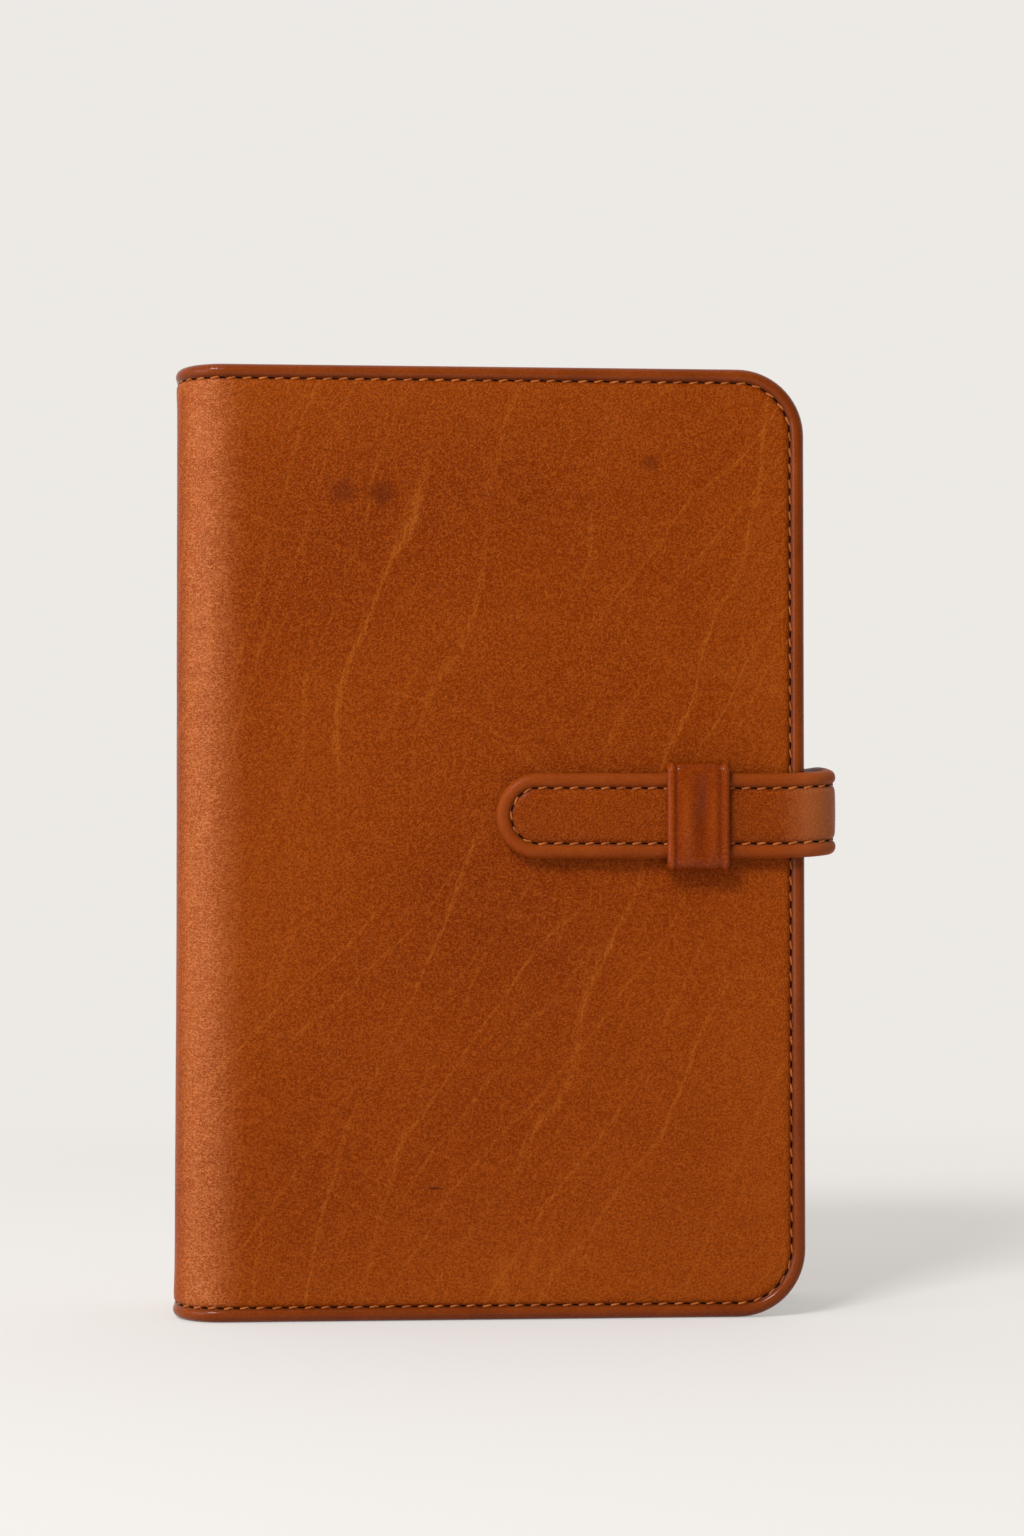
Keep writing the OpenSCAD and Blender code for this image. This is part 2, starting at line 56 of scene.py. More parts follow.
# Sizes are in millimetres, as in the part's source. Shader nodes work in metres.
MM = 0.001
COVER_H = 190.0
X_SPINE, X_FOLD, X_FORE = -65.9, -55.9, 60.1
Y_MID, HALF_T, FOLD_R, CORNER_R = 1.0, 18.0, 10.0, 13.5
PANEL_T = 4.0
STRAP_W, STRAP_Z, STRAP_R = 17.0, 100.0, 6.5
STRAP_X0, STRAP_X1, STRAP_TIP = 15.1, 59.4, -2.194
STRAP_BACK_Y, STRAP_FRONT_Y = 21.6, -19.9
KEEPER_X, KEEPER_W, KEEPER_ROUND = 38.0, 12.6, 1.9
KEEPER_Y, KEEPER_Z0, KEEPER_Z1 = -21.6, 89.2, 110.5
STITCH_IN, STITCH_PITCH = 2.95, 3.2


def srgb(r, g, b):
    def lin(c):
        c /= 255.0
        return c / 12.92 if c <= 0.04045 else ((c + 0.055) / 1.055) ** 2.4

    return (lin(r), lin(g), lin(b), 1.0)


def dark(c, k):
    """The colour c, darkened to the share k."""
    return tuple(v * k for v in c[:3]) + (1.0,)


class Shader:
    """A material with a Principled BSDF and short helpers for its nodes."""

    def __init__(self, name):
        self.mat = bpy.data.materials.new(name)
        self.mat.use_nodes = True
        self.tree = self.mat.node_tree
        self.tree.nodes.clear()
        self.out = self.add("ShaderNodeOutputMaterial")
        self.bsdf = self.add("ShaderNodeBsdfPrincipled")
        self.link(self.bsdf.outputs[0], self.out.inputs[0])

    def add(self, kind, **props):
        n = self.tree.nodes.new(kind)
        for k, v in props.items():
            setattr(n, k, v)
        return n

    def link(self, a, b):
        self.tree.links.new(a, b)

    def set(self, **values):
        for k, v in values.items():
            self.bsdf.inputs[k.replace("_", " ")].default_value = v

    def rest(self):
        """Position at rest, carried by the mesh, so that a bent piece keeps its grain."""
        return self.add("ShaderNodeAttribute", attribute_name="rest_co").outputs["Vector"]

    def value(self, name):
        return self.add("ShaderNodeAttribute", attribute_name=name).outputs["Fac"]

    def object_co(self):
        return self.add("ShaderNodeTexCoord").outputs["Object"]

    def mapped(self, vec, scale=(1, 1, 1), rot=(0, 0, 0), loc=(0, 0, 0)):
        m = self.add("ShaderNodeMapping")
        m.inputs["Scale"].default_value = scale
        m.inputs["Rotation"].default_value = rot
        m.inputs["Location"].default_value = loc
        self.link(vec, m.inputs["Vector"])
        return m.outputs["Vector"]

    def noise(self, vec, scale, detail=2.0, rough=0.5, distort=0.0):
        n = self.add("ShaderNodeTexNoise")
        n.inputs["Scale"].default_value = scale
        n.inputs["Detail"].default_value = detail
        n.inputs["Roughness"].default_value = rough
        n.inputs["Distortion"].default_value = distort
        self.link(vec, n.inputs["Vector"])
        return n.outputs["Fac"]

    def cells(self, vec, scale):
        """Distance to the borders between small uneven cells."""
        n = self.add("ShaderNodeTexVoronoi", feature="DISTANCE_TO_EDGE")
        n.inputs["Scale"].default_value = scale
        self.link(vec, n.inputs["Vector"])
        return n.outputs["Distance"]

    def warped(self, vec, scale, amount):
        """Coordinates pushed about by a noise, by up to half the amount in metres."""
        n = self.add("ShaderNodeTexNoise")
        n.inputs["Scale"].default_value = scale
        n.inputs["Detail"].default_value = 1.0
        self.link(vec, n.inputs["Vector"])
        push = self.add("ShaderNodeVectorMath", operation="MULTIPLY_ADD")
        self.link(n.outputs["Color"], push.inputs[0])
        push.inputs[1].default_value = (amount, amount, amount)
        self.link(vec, push.inputs[2])
        return push.outputs["Vector"]

    def blend(self, fac, a, b):
        n = self.add("ShaderNodeMix", data_type="FLOAT")
        # sockets 2 and 3 of a Mix node are its numbers
        for i, v in ((0, fac), (2, a), (3, b)):
            self.link(v, n.inputs[i])
        return n.outputs[0]

    def math(self, op, a, b=None):
        n = self.add("ShaderNodeMath", operation=op)
        for i, v in enumerate((a, b)):
            if v is None:
                continue
            if isinstance(v, (int, float)):
                n.inputs[i].default_value = v
            else:
                self.link(v, n.inputs[i])
        return n.outputs[0]

    def band(self, v, lo, hi, to_lo=0.0, to_hi=1.0):
        """A smooth step of v from to_lo at lo to to_hi at hi."""
        n = self.add("ShaderNodeMapRange", interpolation_type="SMOOTHSTEP")
        for i, x in enumerate((lo, hi, to_lo, to_hi)):
            n.inputs[i + 1].default_value = x
        self.link(v, n.inputs[0])
        return n.outputs[0]

    def mix(self, fac, a, b):
        n = self.add("ShaderNodeMix", data_type="RGBA")
        # sockets 6 and 7 of a Mix node are its colours
        for i, v in ((0, fac), (6, a), (7, b)):
            if isinstance(v, (int, float, tuple)):
                n.inputs[i].default_value = v
            else:
                self.link(v, n.inputs[i])
        return n.outputs[2]

    def ramp(self, v, stops):
        n = self.add("ShaderNodeValToRGB")
        e = n.color_ramp.elements
        while len(e) < len(stops):
            e.new(0.5)
        for el, (p, c) in zip(e, stops):
            el.position, el.color = p, c
        self.link(v, n.inputs[0])
        return n.outputs[0]

    def bump(self, height, strength, distance, normal=None):
        n = self.add("ShaderNodeBump")
        n.inputs["Strength"].default_value = strength
        n.inputs["Distance"].default_value = distance
        self.link(height, n.inputs["Height"])
        if normal is not None:
            self.link(normal, n.inputs["Normal"])
        return n.outputs[0]

    def put(self, colour=None, rough=None, normal=None):
        for v, k in ((colour, "Base Color"), (rough, "Roughness"), (normal, "Normal")):
            if v is not None:
                self.link(v, self.bsdf.inputs[k])
        return self.mat


def separate(sh, vec):
    n = sh.add("ShaderNodeSeparateXYZ")
    sh.link(vec, n.inputs[0])
    return n.outputs


def vein_lines(sh, co, tilt, wander, spacing, half, shift):
    """Long thin lines of uneven spacing, in mm, that lean by tilt degrees and wander a little."""
    turned = sh.mapped(co, (1, 1, 1), (0, math.radians(tilt), 0), (shift * MM, 0, 0))
    drift = sh.noise(sh.mapped(turned, (13, 13, 8)), 1.0, 3.0, 0.5)
    across = sh.math("ADD", separate(sh, turned)[0], sh.math("MULTIPLY", drift, wander * MM))
    cell = sh.add("ShaderNodeTexVoronoi", voronoi_dimensions="1D", feature="F1")
    cell.inputs["Scale"].default_value = 1.0 / (spacing * MM)
    sh.link(across, cell.inputs["W"])
    line = sh.band(cell.outputs["Distance"], half / spacing, 0.1 * half / spacing)
    pick = sh.band(separate(sh, cell.outputs["Color"])[0], 0.15, 0.9)
    reach = sh.band(sh.noise(sh.mapped(turned, (60, 30, 14)), 1.0, 1.0), 0.38, 0.56)
    # each line is a bundle of finer strands
    strand = sh.noise(sh.mapped(turned, (1250, 1250, 210)), 1.0, 2.0)
    strand = sh.math("ABSOLUTE", sh.math("SUBTRACT", strand, 0.5))
    broken = sh.band(strand, 0.1, 0.0, 0.2, 1.0)
    return sh.math("MULTIPLY", sh.math("MULTIPLY", line, pick), sh.math("MULTIPLY", reach, broken))


# veins of the covers: tilt in degrees; wander, spacing, half width and shift in mm; strength
VEINS = ((-24, 60, 12, 0.8, 3, 0.56), (-36, 52, 9, 0.6, 71, 0.5), (-14, 56, 16, 0.8, 140, 0.66),
         (70, 60, 11, 0.55, 33, 0.24))
# stains and a scratch on the front: middle in x and z, half width and half height, in mm; strength
STAINS = ((-32.6, 164.6, 3.6, 3.6, 0.5), (-25, 164.3, 3.8, 3.6, 0.62), (29, 171, 2.8, 2.6, 0.5),
          (-14.2, 26.2, 2.4, 0.5, 0.95))
# painted highlights: the sheen on the spine's bend, on the wrinkle crests there, and where the strap turns
# round the fore edge
FOLD_SHEEN, FOLD_CREST_SHEEN, TURN_SHEEN = srgb(158, 78, 33), srgb(204, 130, 82), srgb(168, 98, 56)


def leather(name, deep, mid, light, vein_and_glint, rim, cover=False, turns=False, grain=1.0, relief_mm=0.1,
            rough=(0.28, 0.38), gloss=0.05, wax=0.04, polish=0.24, clouds=17.0):
    """Smooth vegetable-tanned leather: cloudy colour, fine wrinkled grain and a burnished rim.

    cover adds the covers' veins and stains and a painted highlight on the fold, and turns adds a painted
    highlight where the strap turns. grain is the strength of the grain's painted crease shade and crest
    highlights, wax and polish are the coat's weight and roughness, and clouds is the scale of the tone.
    """
    sh = Shader(name)
    co = sh.rest()
    x, y, z = separate(sh, co)
    cloud = sh.noise(co, clouds, 3.0, 0.45)
    tone = cloud
    if cover:
        # painted light: a little lighter towards the foot, where light bounced off the floor falls
        tone = sh.math("ADD", cloud, sh.math("MULTIPLY", sh.math("SUBTRACT", 0.095, z), 1.3))
    colour = sh.ramp(tone, [(0.16, deep), (0.5, mid), (0.86, light)])
    mottle = sh.noise(co, 210.0, 5.0, 0.6)
    colour = sh.mix(sh.band(mottle, 0.4, 0.7, 0.0, 0.14), colour, light)
    # paler by the 'edge' share: towards the covers' sewn edges and evenly over the strap; on the keeper the
    # share is a painted highlight on its swellings and raised rims
    colour = sh.mix(sh.math("MULTIPLY", sh.value("edge"), 0.45), colour, light)
    grain_co = sh.warped(co, 760.0, 0.0007)
    if cover:
        # painted highlight: the side light's sheen on the bend round the spine is painted pale, less so on
        # the strip that turns away at the spine; the grain is drawn out there
        bend = sh.math("MULTIPLY", sh.band(x, -0.0508, -0.0600),
                       sh.band(x, -0.0653, -0.0626, 0.15, 1.0))
        uneven = sh.noise(sh.mapped(co, (1, 1, 2.6)), 130.0, 4.0, 0.6)
        uneven = sh.band(uneven, 0.25, 0.7, 0.5, 0.95)
        colour = sh.mix(sh.math("MULTIPLY", bend, uneven), colour, FOLD_SHEEN)
        for *course, amount in VEINS:
            line = vein_lines(sh, co, *course)
            colour = sh.mix(sh.math("MULTIPLY", line, amount), colour, vein_and_glint)
    # pebbled grain: small uneven cells with creases between them, and finer wrinkles across
    cell = sh.cells(grain_co, 1330.0)
    if cover:
        drawn = sh.cells(sh.mapped(grain_co, (0.5, 0.5, 1.3)), 1250.0)
        cell = sh.blend(sh.band(x, -0.050, -0.058), cell, drawn)
    pebble = sh.band(cell, 0.0, 0.3)
    worm = sh.noise(sh.mapped(co, (0.85, 0.85, 1.2)), 1700.0, 2.0, 0.5, 0.3)
    worm = sh.math("ABSOLUTE", sh.math("SUBTRACT", worm, 0.5))
    fine = sh.noise(co, 3600.0, 2.0, 0.6)
    relief = sh.math("ADD", sh.math("MULTIPLY", pebble, 0.6),
                     sh.math("MULTIPLY", sh.band(worm, 0.1, 0.0), 0.3))
    relief = sh.math("ADD", relief, sh.math("MULTIPLY", fine, 0.3))
    # painted shade in the creases of the grain
    shade = sh.band(relief, 0.55, 0.1, 0.0, 0.4 * grain)
    # the painted crease shade is weaker inside the painted fold highlight
    if cover:
        shade = sh.math("MULTIPLY", shade, sh.band(bend, 0.0, 1.0, 1.0, 0.6))
    colour = sh.mix(shade, colour, dark(deep, 0.5))
    # painted highlight: the crests of the wrinkles are painted pale where they catch the light
    crest_glint = sh.band(worm, 0.075, 0.0, 0.0, 0.4 * grain)
    if cover:
        # inside the painted fold highlight the crests get a stronger and paler painted highlight
        crest_glint = sh.math("MULTIPLY", crest_glint, sh.band(bend, 0.0, 1.0, 1.0, 1.3))
        colour = sh.mix(crest_glint, colour, sh.mix(bend, vein_and_glint, FOLD_CREST_SHEEN))
        on_front = sh.band(y, 0.0, -0.005)
        for px, pz, rx, rz, amount in STAINS:
            off = sh.mapped(co, (1 / (rx * MM), 0, 1 / (rz * MM)), loc=(-px / rx, 0, -pz / rz))
            d = sh.add("ShaderNodeVectorMath", operation="LENGTH")
            sh.link(off, d.inputs[0])
            ragged = sh.math("MULTIPLY", sh.noise(co, 420.0, 3.0), 0.7)
            near = sh.math("ADD", d.outputs["Value"], ragged)
            mark = sh.math("MULTIPLY", sh.band(near, 1.35, 0.45, 0.0, amount), on_front)
            colour = sh.mix(mark, colour, dark(rim, 0.7))
    else:
        colour = sh.mix(crest_glint, colour, vein_and_glint)
    if turns:
        # painted highlight: a pale sheen is painted where the strap turns round the fore edge
        off = sh.math("ABSOLUTE", sh.math("SUBTRACT", y, 0.00085))
        turn_sheen = sh.math("MULTIPLY", sh.band(x, 0.0530, 0.0635, 0.0, 0.6),
                       sh.band(off, 0.0115, 0.0160))
        colour = sh.mix(turn_sheen, colour, TURN_SHEEN)
    # burnished rim; on the keeper the 'rim' share is instead painted shade in the creases beside its raised
    # rims and in its long dent
    rim_wear_and_shade = sh.band(sh.noise(co, 95.0, 4.0, 0.6), 0.2, 0.75, 0.8, 0.45)
    colour = sh.mix(sh.math("MULTIPLY", sh.value("rim"), rim_wear_and_shade), colour, rim)
    # painted shade in the sewn groove
    colour = sh.mix(sh.math("MULTIPLY", sh.value("groove"), 0.5), colour, dark(deep, 0.35))
    normal = sh.bump(relief, 1.0, relief_mm * MM)
    normal = sh.bump(cloud, 0.25, 0.002, normal)
    sh.set(Specular_IOR_Level=gloss, IOR=1.45, Coat_Weight=wax, Coat_Roughness=polish)
    rough_v = sh.band(mottle, 0.3, 0.7, rough[0], rough[1])
    if cover:
        rough_v = sh.math("MULTIPLY", rough_v, sh.band(bend, 0.0, 1.0, 1.0, 0.76))
    return sh.put(colour, rough_v, normal)


LEATHER = leather("cognac_leather", srgb(113, 38, 0), srgb(129, 49, 0), srgb(148, 64, 6),
                  srgb(176, 94, 26), srgb(100, 35, 6), cover=True)
EDGE_LEATHER = leather("burnished_edge", srgb(88, 31, 3), srgb(128, 53, 7), srgb(160, 77, 18),
                       srgb(172, 92, 36), srgb(112, 45, 7), grain=0.75, relief_mm=0.025,
                       rough=(0.22, 0.3), gloss=0.07, wax=0.17, polish=0.1, clouds=75.0)
STRAP_LEATHER = leather("strap_leather", srgb(108, 36, 0), srgb(124, 46, 0), srgb(144, 61, 6),
                        srgb(170, 88, 24), srgb(100, 35, 6), turns=True)
STRAP_EDGE = leather("strap_edge", srgb(104, 38, 3), srgb(136, 57, 8), srgb(158, 76, 18),
                     srgb(172, 92, 36), srgb(128, 53, 9), turns=True, grain=0.75, relief_mm=0.025,
                     rough=(0.44, 0.54), gloss=0.06, wax=0.06, polish=0.3, clouds=75.0)
KEEPER_LEATHER = leather("keeper_leather", srgb(98, 31, 0), srgb(117, 40, 1), srgb(146, 61, 8),
                         srgb(168, 86, 30), srgb(92, 30, 2), grain=0.7, relief_mm=0.022,
                         rough=(0.2, 0.28), gloss=0.06, wax=0.16, polish=0.1)
LINING = leather("lining_leather", srgb(132, 70, 32), srgb(150, 86, 43), srgb(166, 102, 55),
                 srgb(186, 124, 76), srgb(126, 64, 30), grain=0.5, relief_mm=0.04,
                 rough=(0.5, 0.65), gloss=0.15, wax=0.0)


def thread_material():
    sh = Shader("waxed_thread")
    co = sh.rest()
    ply = sh.noise(sh.mapped(co, (1, 1, 1), (0, 0.6, 0)), 4200.0, 2.0)
    tone = sh.noise(co, 260.0, 3.0)
    colour = sh.ramp(tone, [(0.3, srgb(150, 74, 24)), (0.55, srgb(180, 98, 38)),
                            (0.75, srgb(198, 118, 52))])
    colour = sh.mix(sh.band(ply, 0.35, 0.6, 0.4, 0.0), colour, srgb(110, 48, 14))
    sh.set(Specular_IOR_Level=0.3)
    return sh.put(colour, sh.band(tone, 0.2, 0.8, 0.5, 0.65), sh.bump(ply, 0.6, 0.0001))


# painted shade: a near-black disc stands for the shade inside an awl hole
def hole_shade_material():
    sh = Shader("awl_hole_shade")
    co = sh.rest()
    n = sh.noise(co, 1500.0, 2.0)
    sh.set(Specular_IOR_Level=0.05)
    colour = sh.ramp(n, [(0.35, srgb(14, 4, 1)), (0.7, srgb(40, 13, 4))])
    return sh.put(colour, sh.band(n, 0, 1, 0.8, 0.95), sh.bump(n, 0.4, 0.0001))


THREAD, HOLE_SHADE = thread_material(), hole_shade_material()

LEAVES_PER_M = 9500.0
RULE_PITCH, RULE_LOW, RULE_HIGH = 0.007, 0.0225, 0.166


def paper_material(name, tint, ruled):
    """Leaves of paper: fine layered edges, a soft fibre tone and, where ruled, faint plain lines."""
    sh = Shader(name)
    co = sh.object_co()
    _, y, z = separate(sh, co)
    fibre = sh.noise(co, 900.0, 4.0, 0.6)
    tone = sh.noise(co, 30.0, 2.0)
    lo = dark(tint, 0.9)
    colour = sh.ramp(fibre, [(0.3, lo), (0.65, tint)])
    colour = sh.mix(sh.band(tone, 0.35, 0.7, 0.0, 0.3), colour, lo)
    ny = sh.math("ABSOLUTE", separate(sh, sh.add("ShaderNodeTexCoord").outputs["Normal"])[1])
    on_edge = sh.band(ny, 0.75, 0.55)
    # each leaf is about 0.1 mm; its edge shows as a fine line
    warp = sh.math("ADD", sh.math("MULTIPLY", y, LEAVES_PER_M),
                   sh.math("MULTIPLY", sh.noise(co, 60.0, 2.0), 5.0))
    leaf = sh.math("SINE", sh.math("MULTIPLY", warp, math.tau))
    edge_tone = sh.math("MULTIPLY", sh.band(leaf, -0.2, -0.95, 0.0, 0.5), on_edge)
    colour = sh.mix(edge_tone, colour, dark(tint, 0.62))
    if ruled:
        row = sh.math("FRACT", sh.math("MULTIPLY", z, 1 / RULE_PITCH))
        line = sh.band(sh.math("ABSOLUTE", sh.math("SUBTRACT", row, 0.5)), 0.03, 0.012)
        inside = sh.math("MULTIPLY", sh.band(z, RULE_LOW, RULE_LOW + 0.0001),
                         sh.band(z, RULE_HIGH, RULE_HIGH - 0.0001))
        page = sh.math("MULTIPLY", sh.band(ny, 0.8, 0.95), inside)
        ruling = sh.math("MULTIPLY", sh.math("MULTIPLY", line, page), 0.45)
        colour = sh.mix(ruling, colour, srgb(150, 158, 168))
    sh.set(Specular_IOR_Level=0.2)
    height = sh.math("ADD", fibre, sh.math("MULTIPLY", leaf, on_edge))
    return sh.put(colour, sh.band(fibre, 0.2, 0.8, 0.75, 0.92), sh.bump(height, 0.15, 0.00008))


def card_material(name, a, b):
    sh = Shader(name)
    co = sh.object_co()
    fibre = sh.noise(co, 700.0, 5.0, 0.65)
    fleck = sh.band(sh.noise(co, 1600.0, 2.0), 0.62, 0.75)
    colour = sh.ramp(fibre, [(0.3, a), (0.7, b)])
    colour = sh.mix(sh.math("MULTIPLY", fleck, 0.3), colour, dark(a, 0.6))
    sh.set(Specular_IOR_Level=0.25)
    return sh.put(colour, sh.band(fibre, 0.2, 0.8, 0.6, 0.85), sh.bump(fibre, 0.25, 0.0001))


def metal_material():
    sh = Shader("nickel_plate")
    co = sh.object_co()
    brushed = sh.noise(sh.mapped(co, (1, 1, 0.04)), 2600.0, 3.0, 0.6)
    haze = sh.noise(co, 140.0, 4.0, 0.6)
    colour = sh.ramp(haze, [(0.3, srgb(196, 192, 184)), (0.7, srgb(218, 215, 208))])
    rough = sh.math("ADD", sh.band(haze, 0.3, 0.7, 0.16, 0.28),
                    sh.band(brushed, 0.3, 0.7, 0.0, 0.08))
    sh.set(Metallic=1.0)
    return sh.put(colour, rough, sh.bump(brushed, 0.12, 0.00004))


def plastic_material():
    sh = Shader("frosted_marker")
    co = sh.object_co()
    frost = sh.noise(co, 1900.0, 3.0, 0.6)
    haze = sh.noise(co, 60.0, 3.0)
    colour = sh.ramp(haze, [(0.3, srgb(206, 212, 214)), (0.7, srgb(224, 228, 228))])
    sh.set(Transmission_Weight=0.35, IOR=1.49)
    return sh.put(colour, sh.band(frost, 0.3, 0.7, 0.35, 0.5), sh.bump(frost, 0.2, 0.00006))


PAPER = paper_material("planner_paper", srgb(240, 234, 218), True)
PLAIN = paper_material("fly_leaf_paper", srgb(226, 214, 190), False)
CARD = card_material("divider_card", srgb(168, 128, 88), srgb(186, 146, 104))
BOARD = card_material("grey_board", srgb(140, 130, 116), srgb(166, 156, 140))
METAL, PLASTIC = metal_material(), plastic_material()

# a face with this many corners or more is a plain cap, and is shaded flat
CAP_CORNERS = 12


def build(name, verts, faces, mats, face_mat=None, attrs=None):
    """A mesh from points in mm. Points that coincide become one, and faces that vanish are left out.

    attrs holds the shares of "rim", "edge" and "groove" per point, which the leather's colour reads.
    """
    verts = np.asarray(verts, float)
    _, first, inv = np.unique(np.round(verts, 4), axis=0, return_index=True, return_inverse=True)
    inv = inv.ravel()
    out, out_mat = [], []
    for k, f in enumerate(faces):
        g = []
        for i in inv[list(f)]:
            if i not in g:
                g.append(int(i))
        if len(g) >= 3:
            out.append(g)
            out_mat.append(0 if face_mat is None else face_mat[k])
    pts = verts[first] * MM
    mesh = bpy.data.meshes.new(name)
    mesh.from_pydata(pts.tolist(), [], out)
    for m in mats:
        mesh.materials.append(m)
    mesh.polygons.foreach_set("material_index", out_mat)
    mesh.polygons.foreach_set("use_smooth", [len(g) < CAP_CORNERS for g in out])
    at = mesh.attributes.new("rest_co", "FLOAT_VECTOR", "POINT")
    at.data.foreach_set("vector", pts.astype(np.float32).ravel())
    for key in ("rim", "edge", "groove"):
        vals = np.asarray((attrs or {}).get(key, np.zeros(len(verts))), float)
        at = mesh.attributes.new(key, "FLOAT", "POINT")
        at.data.foreach_set("value", vals[first].astype(np.float32))
    mesh.update()
    obj = bpy.data.objects.new(name, mesh)
    bpy.context.scene.collection.objects.link(obj)
    return obj


def smoothstep(x, a, b):
    t = np.clip((np.asarray(x, float) - a) / (b - a), 0, 1)
    return t * t * (3 - 2 * t)


def outline(d, length, height, r, n_run, n_arc, n_fore):
    """U-shaped curve at the distance d inside a flap's rim: low run, corner, fore edge, corner, high run."""
    m, a = max(r, d), max(r - d, 0.0)
    t = np.linspace(0, 1, n_run + 1)
    q = np.linspace(0, math.pi / 2, n_arc + 2)[1:-1]
    f = np.linspace(0, 1, n_fore + 1)
    low = np.column_stack([t * (length - m), np.full_like(t, d)])
    c1 = np.column_stack([length - m + a * np.sin(q), m - a * np.cos(q)])
    fore = np.column_stack([np.full_like(f, length - d), m + f * (height - 2 * m)])
    c2 = np.column_stack([length - m + a * np.cos(q), height - m + a * np.sin(q)])
    high = np.column_stack([(1 - t) * (length - m), np.full_like(t, height - d)])
    return np.vstack([low, c1, fore, c2, high])


def flap(length, height, r, profile, n_run, n_arc, n_fore, grid):
    """Rings of a profile (distance in, height over the face) round the rim, and a grid over the middle."""
    rings = [outline(d, length, height, r, n_run, n_arc, n_fore) for d, _ in profile]
    s = len(rings[0])
    uz = np.vstack(rings)
    w = np.repeat([p[1] for p in profile], s)
    d = np.repeat([p[0] for p in profile], s)
    faces = [(k * s + i, k * s + i + 1, (k + 1) * s + i + 1, (k + 1) * s + i)
             for k in range(len(profile) - 1) for i in range(s - 1)]
    ring_of = [k for k in range(len(profile) - 1) for _ in range(s - 1)]
    if grid:
        din, win = profile[-1]
        base = len(uz)
        gu, gz = np.meshgrid(np.linspace(0, length - din, n_run + 1),
                             np.linspace(din, height - din, n_fore + 1), indexing="ij")
        uz = np.vstack([uz, np.column_stack([gu.ravel(), gz.ravel()])])
        depth = np.minimum.reduce([gz.ravel(), height - gz.ravel(), length - gu.ravel()])
        d = np.concatenate([d, depth])
        w = np.concatenate([w, np.full(gu.size, win)])
        c = n_fore + 1
        faces += [(base + i * c + j, base + (i + 1) * c + j,
                   base + (i + 1) * c + j + 1, base + i * c + j + 1)
                  for i in range(n_run) for j in range(n_fore)]
        ring_of += [len(profile)] * (n_run * n_fore)
    return uz[:, 0], uz[:, 1], w, d, faces, ring_of


def flipped(faces):
    return [tuple(reversed(f)) for f in faces]


FOLD_L = FOLD_R * math.pi / 2
SPINE_HALF = HALF_T - FOLD_R
COVER_L = SPINE_HALF + FOLD_L + X_FORE - X_FOLD


def cover_path(u, w, side):
    """Point on the cover, and the direction in x and y that its face looks in.

    u runs from the middle of the spine round the bend to the fore edge, and w stands off the face.
    side is -1 for the front cover and 1 for the back cover.
    """
    u, w = np.asarray(u, float), np.asarray(w, float)
    phi = np.clip((u - SPINE_HALF) / FOLD_R, 0, math.pi / 2)
    nx, ny = -np.cos(phi), np.sin(phi)
    x = X_FOLD - FOLD_R * np.cos(phi) + np.clip(u - SPINE_HALF - FOLD_L, 0, None)
    y = SPINE_HALF + FOLD_R * np.sin(phi) + np.clip(u - SPINE_HALF, None, 0)
    x, y = x + w * nx, y + w * ny
    return x, Y_MID + side * y, nx, side * ny


def drape(u, z, seed):
    """Slow unevenness of a leather panel, in mm."""
    a = np.sin(u * 0.061 + 1.3 * seed) * np.sin(z * 0.043 + 0.7 + seed)
    b = np.sin(u * 0.021 - z * 0.033 + 2.1 * seed)
    c = np.sin(u * 0.17 + z * 0.11 + seed) * np.sin(z * 0.19 - u * 0.07)
    return 0.07 * a + 0.06 * b + 0.025 * c


# section of a cover's edge, from the turned-in leather inside, round the bead, to the flat of the face:
# distance in from the rim, height over the face
RIM = [(4.8, -3.5), (4.55, -3.92), (4.2, -4.08), (3.7, -4.12), (3.3, -4.0), (2.95, -3.86), (2.6, -4.0),
       (2.2, -4.12), (1.6, -4.1), (1.05, -3.88), (0.55, -3.45), (0.2, -2.9), (0.03, -2.3), (0.0, -1.75),
       (0.05, -1.2), (0.25, -0.65), (0.6, -0.18), (1.0, 0.08), (1.45, 0.22), (1.9, 0.2), (2.25, 0.04),
       (2.5, -0.2), (2.72, -0.46), (2.95, -0.56), (3.15, -0.42), (3.45, -0.12), (3.85, 0.05), (4.5, 0.1),
       (5.5, 0.1), (7.0, 0.07), (9.0, 0.04), (11.2, 0.02), (13.5, 0.0)]
RIM_BEAD = 22  # the bands of the section up to the sewn groove are burnished
LINING_RIM = [(4.25, -3.45), (4.45, -3.85), (4.8, -4.02), (5.4, -4.05), (6.2, -4.02), (8, -4.0),
              (13.5, -4.0)]
OUTSIDE = -1.0  # points of a section above this height are on the outside


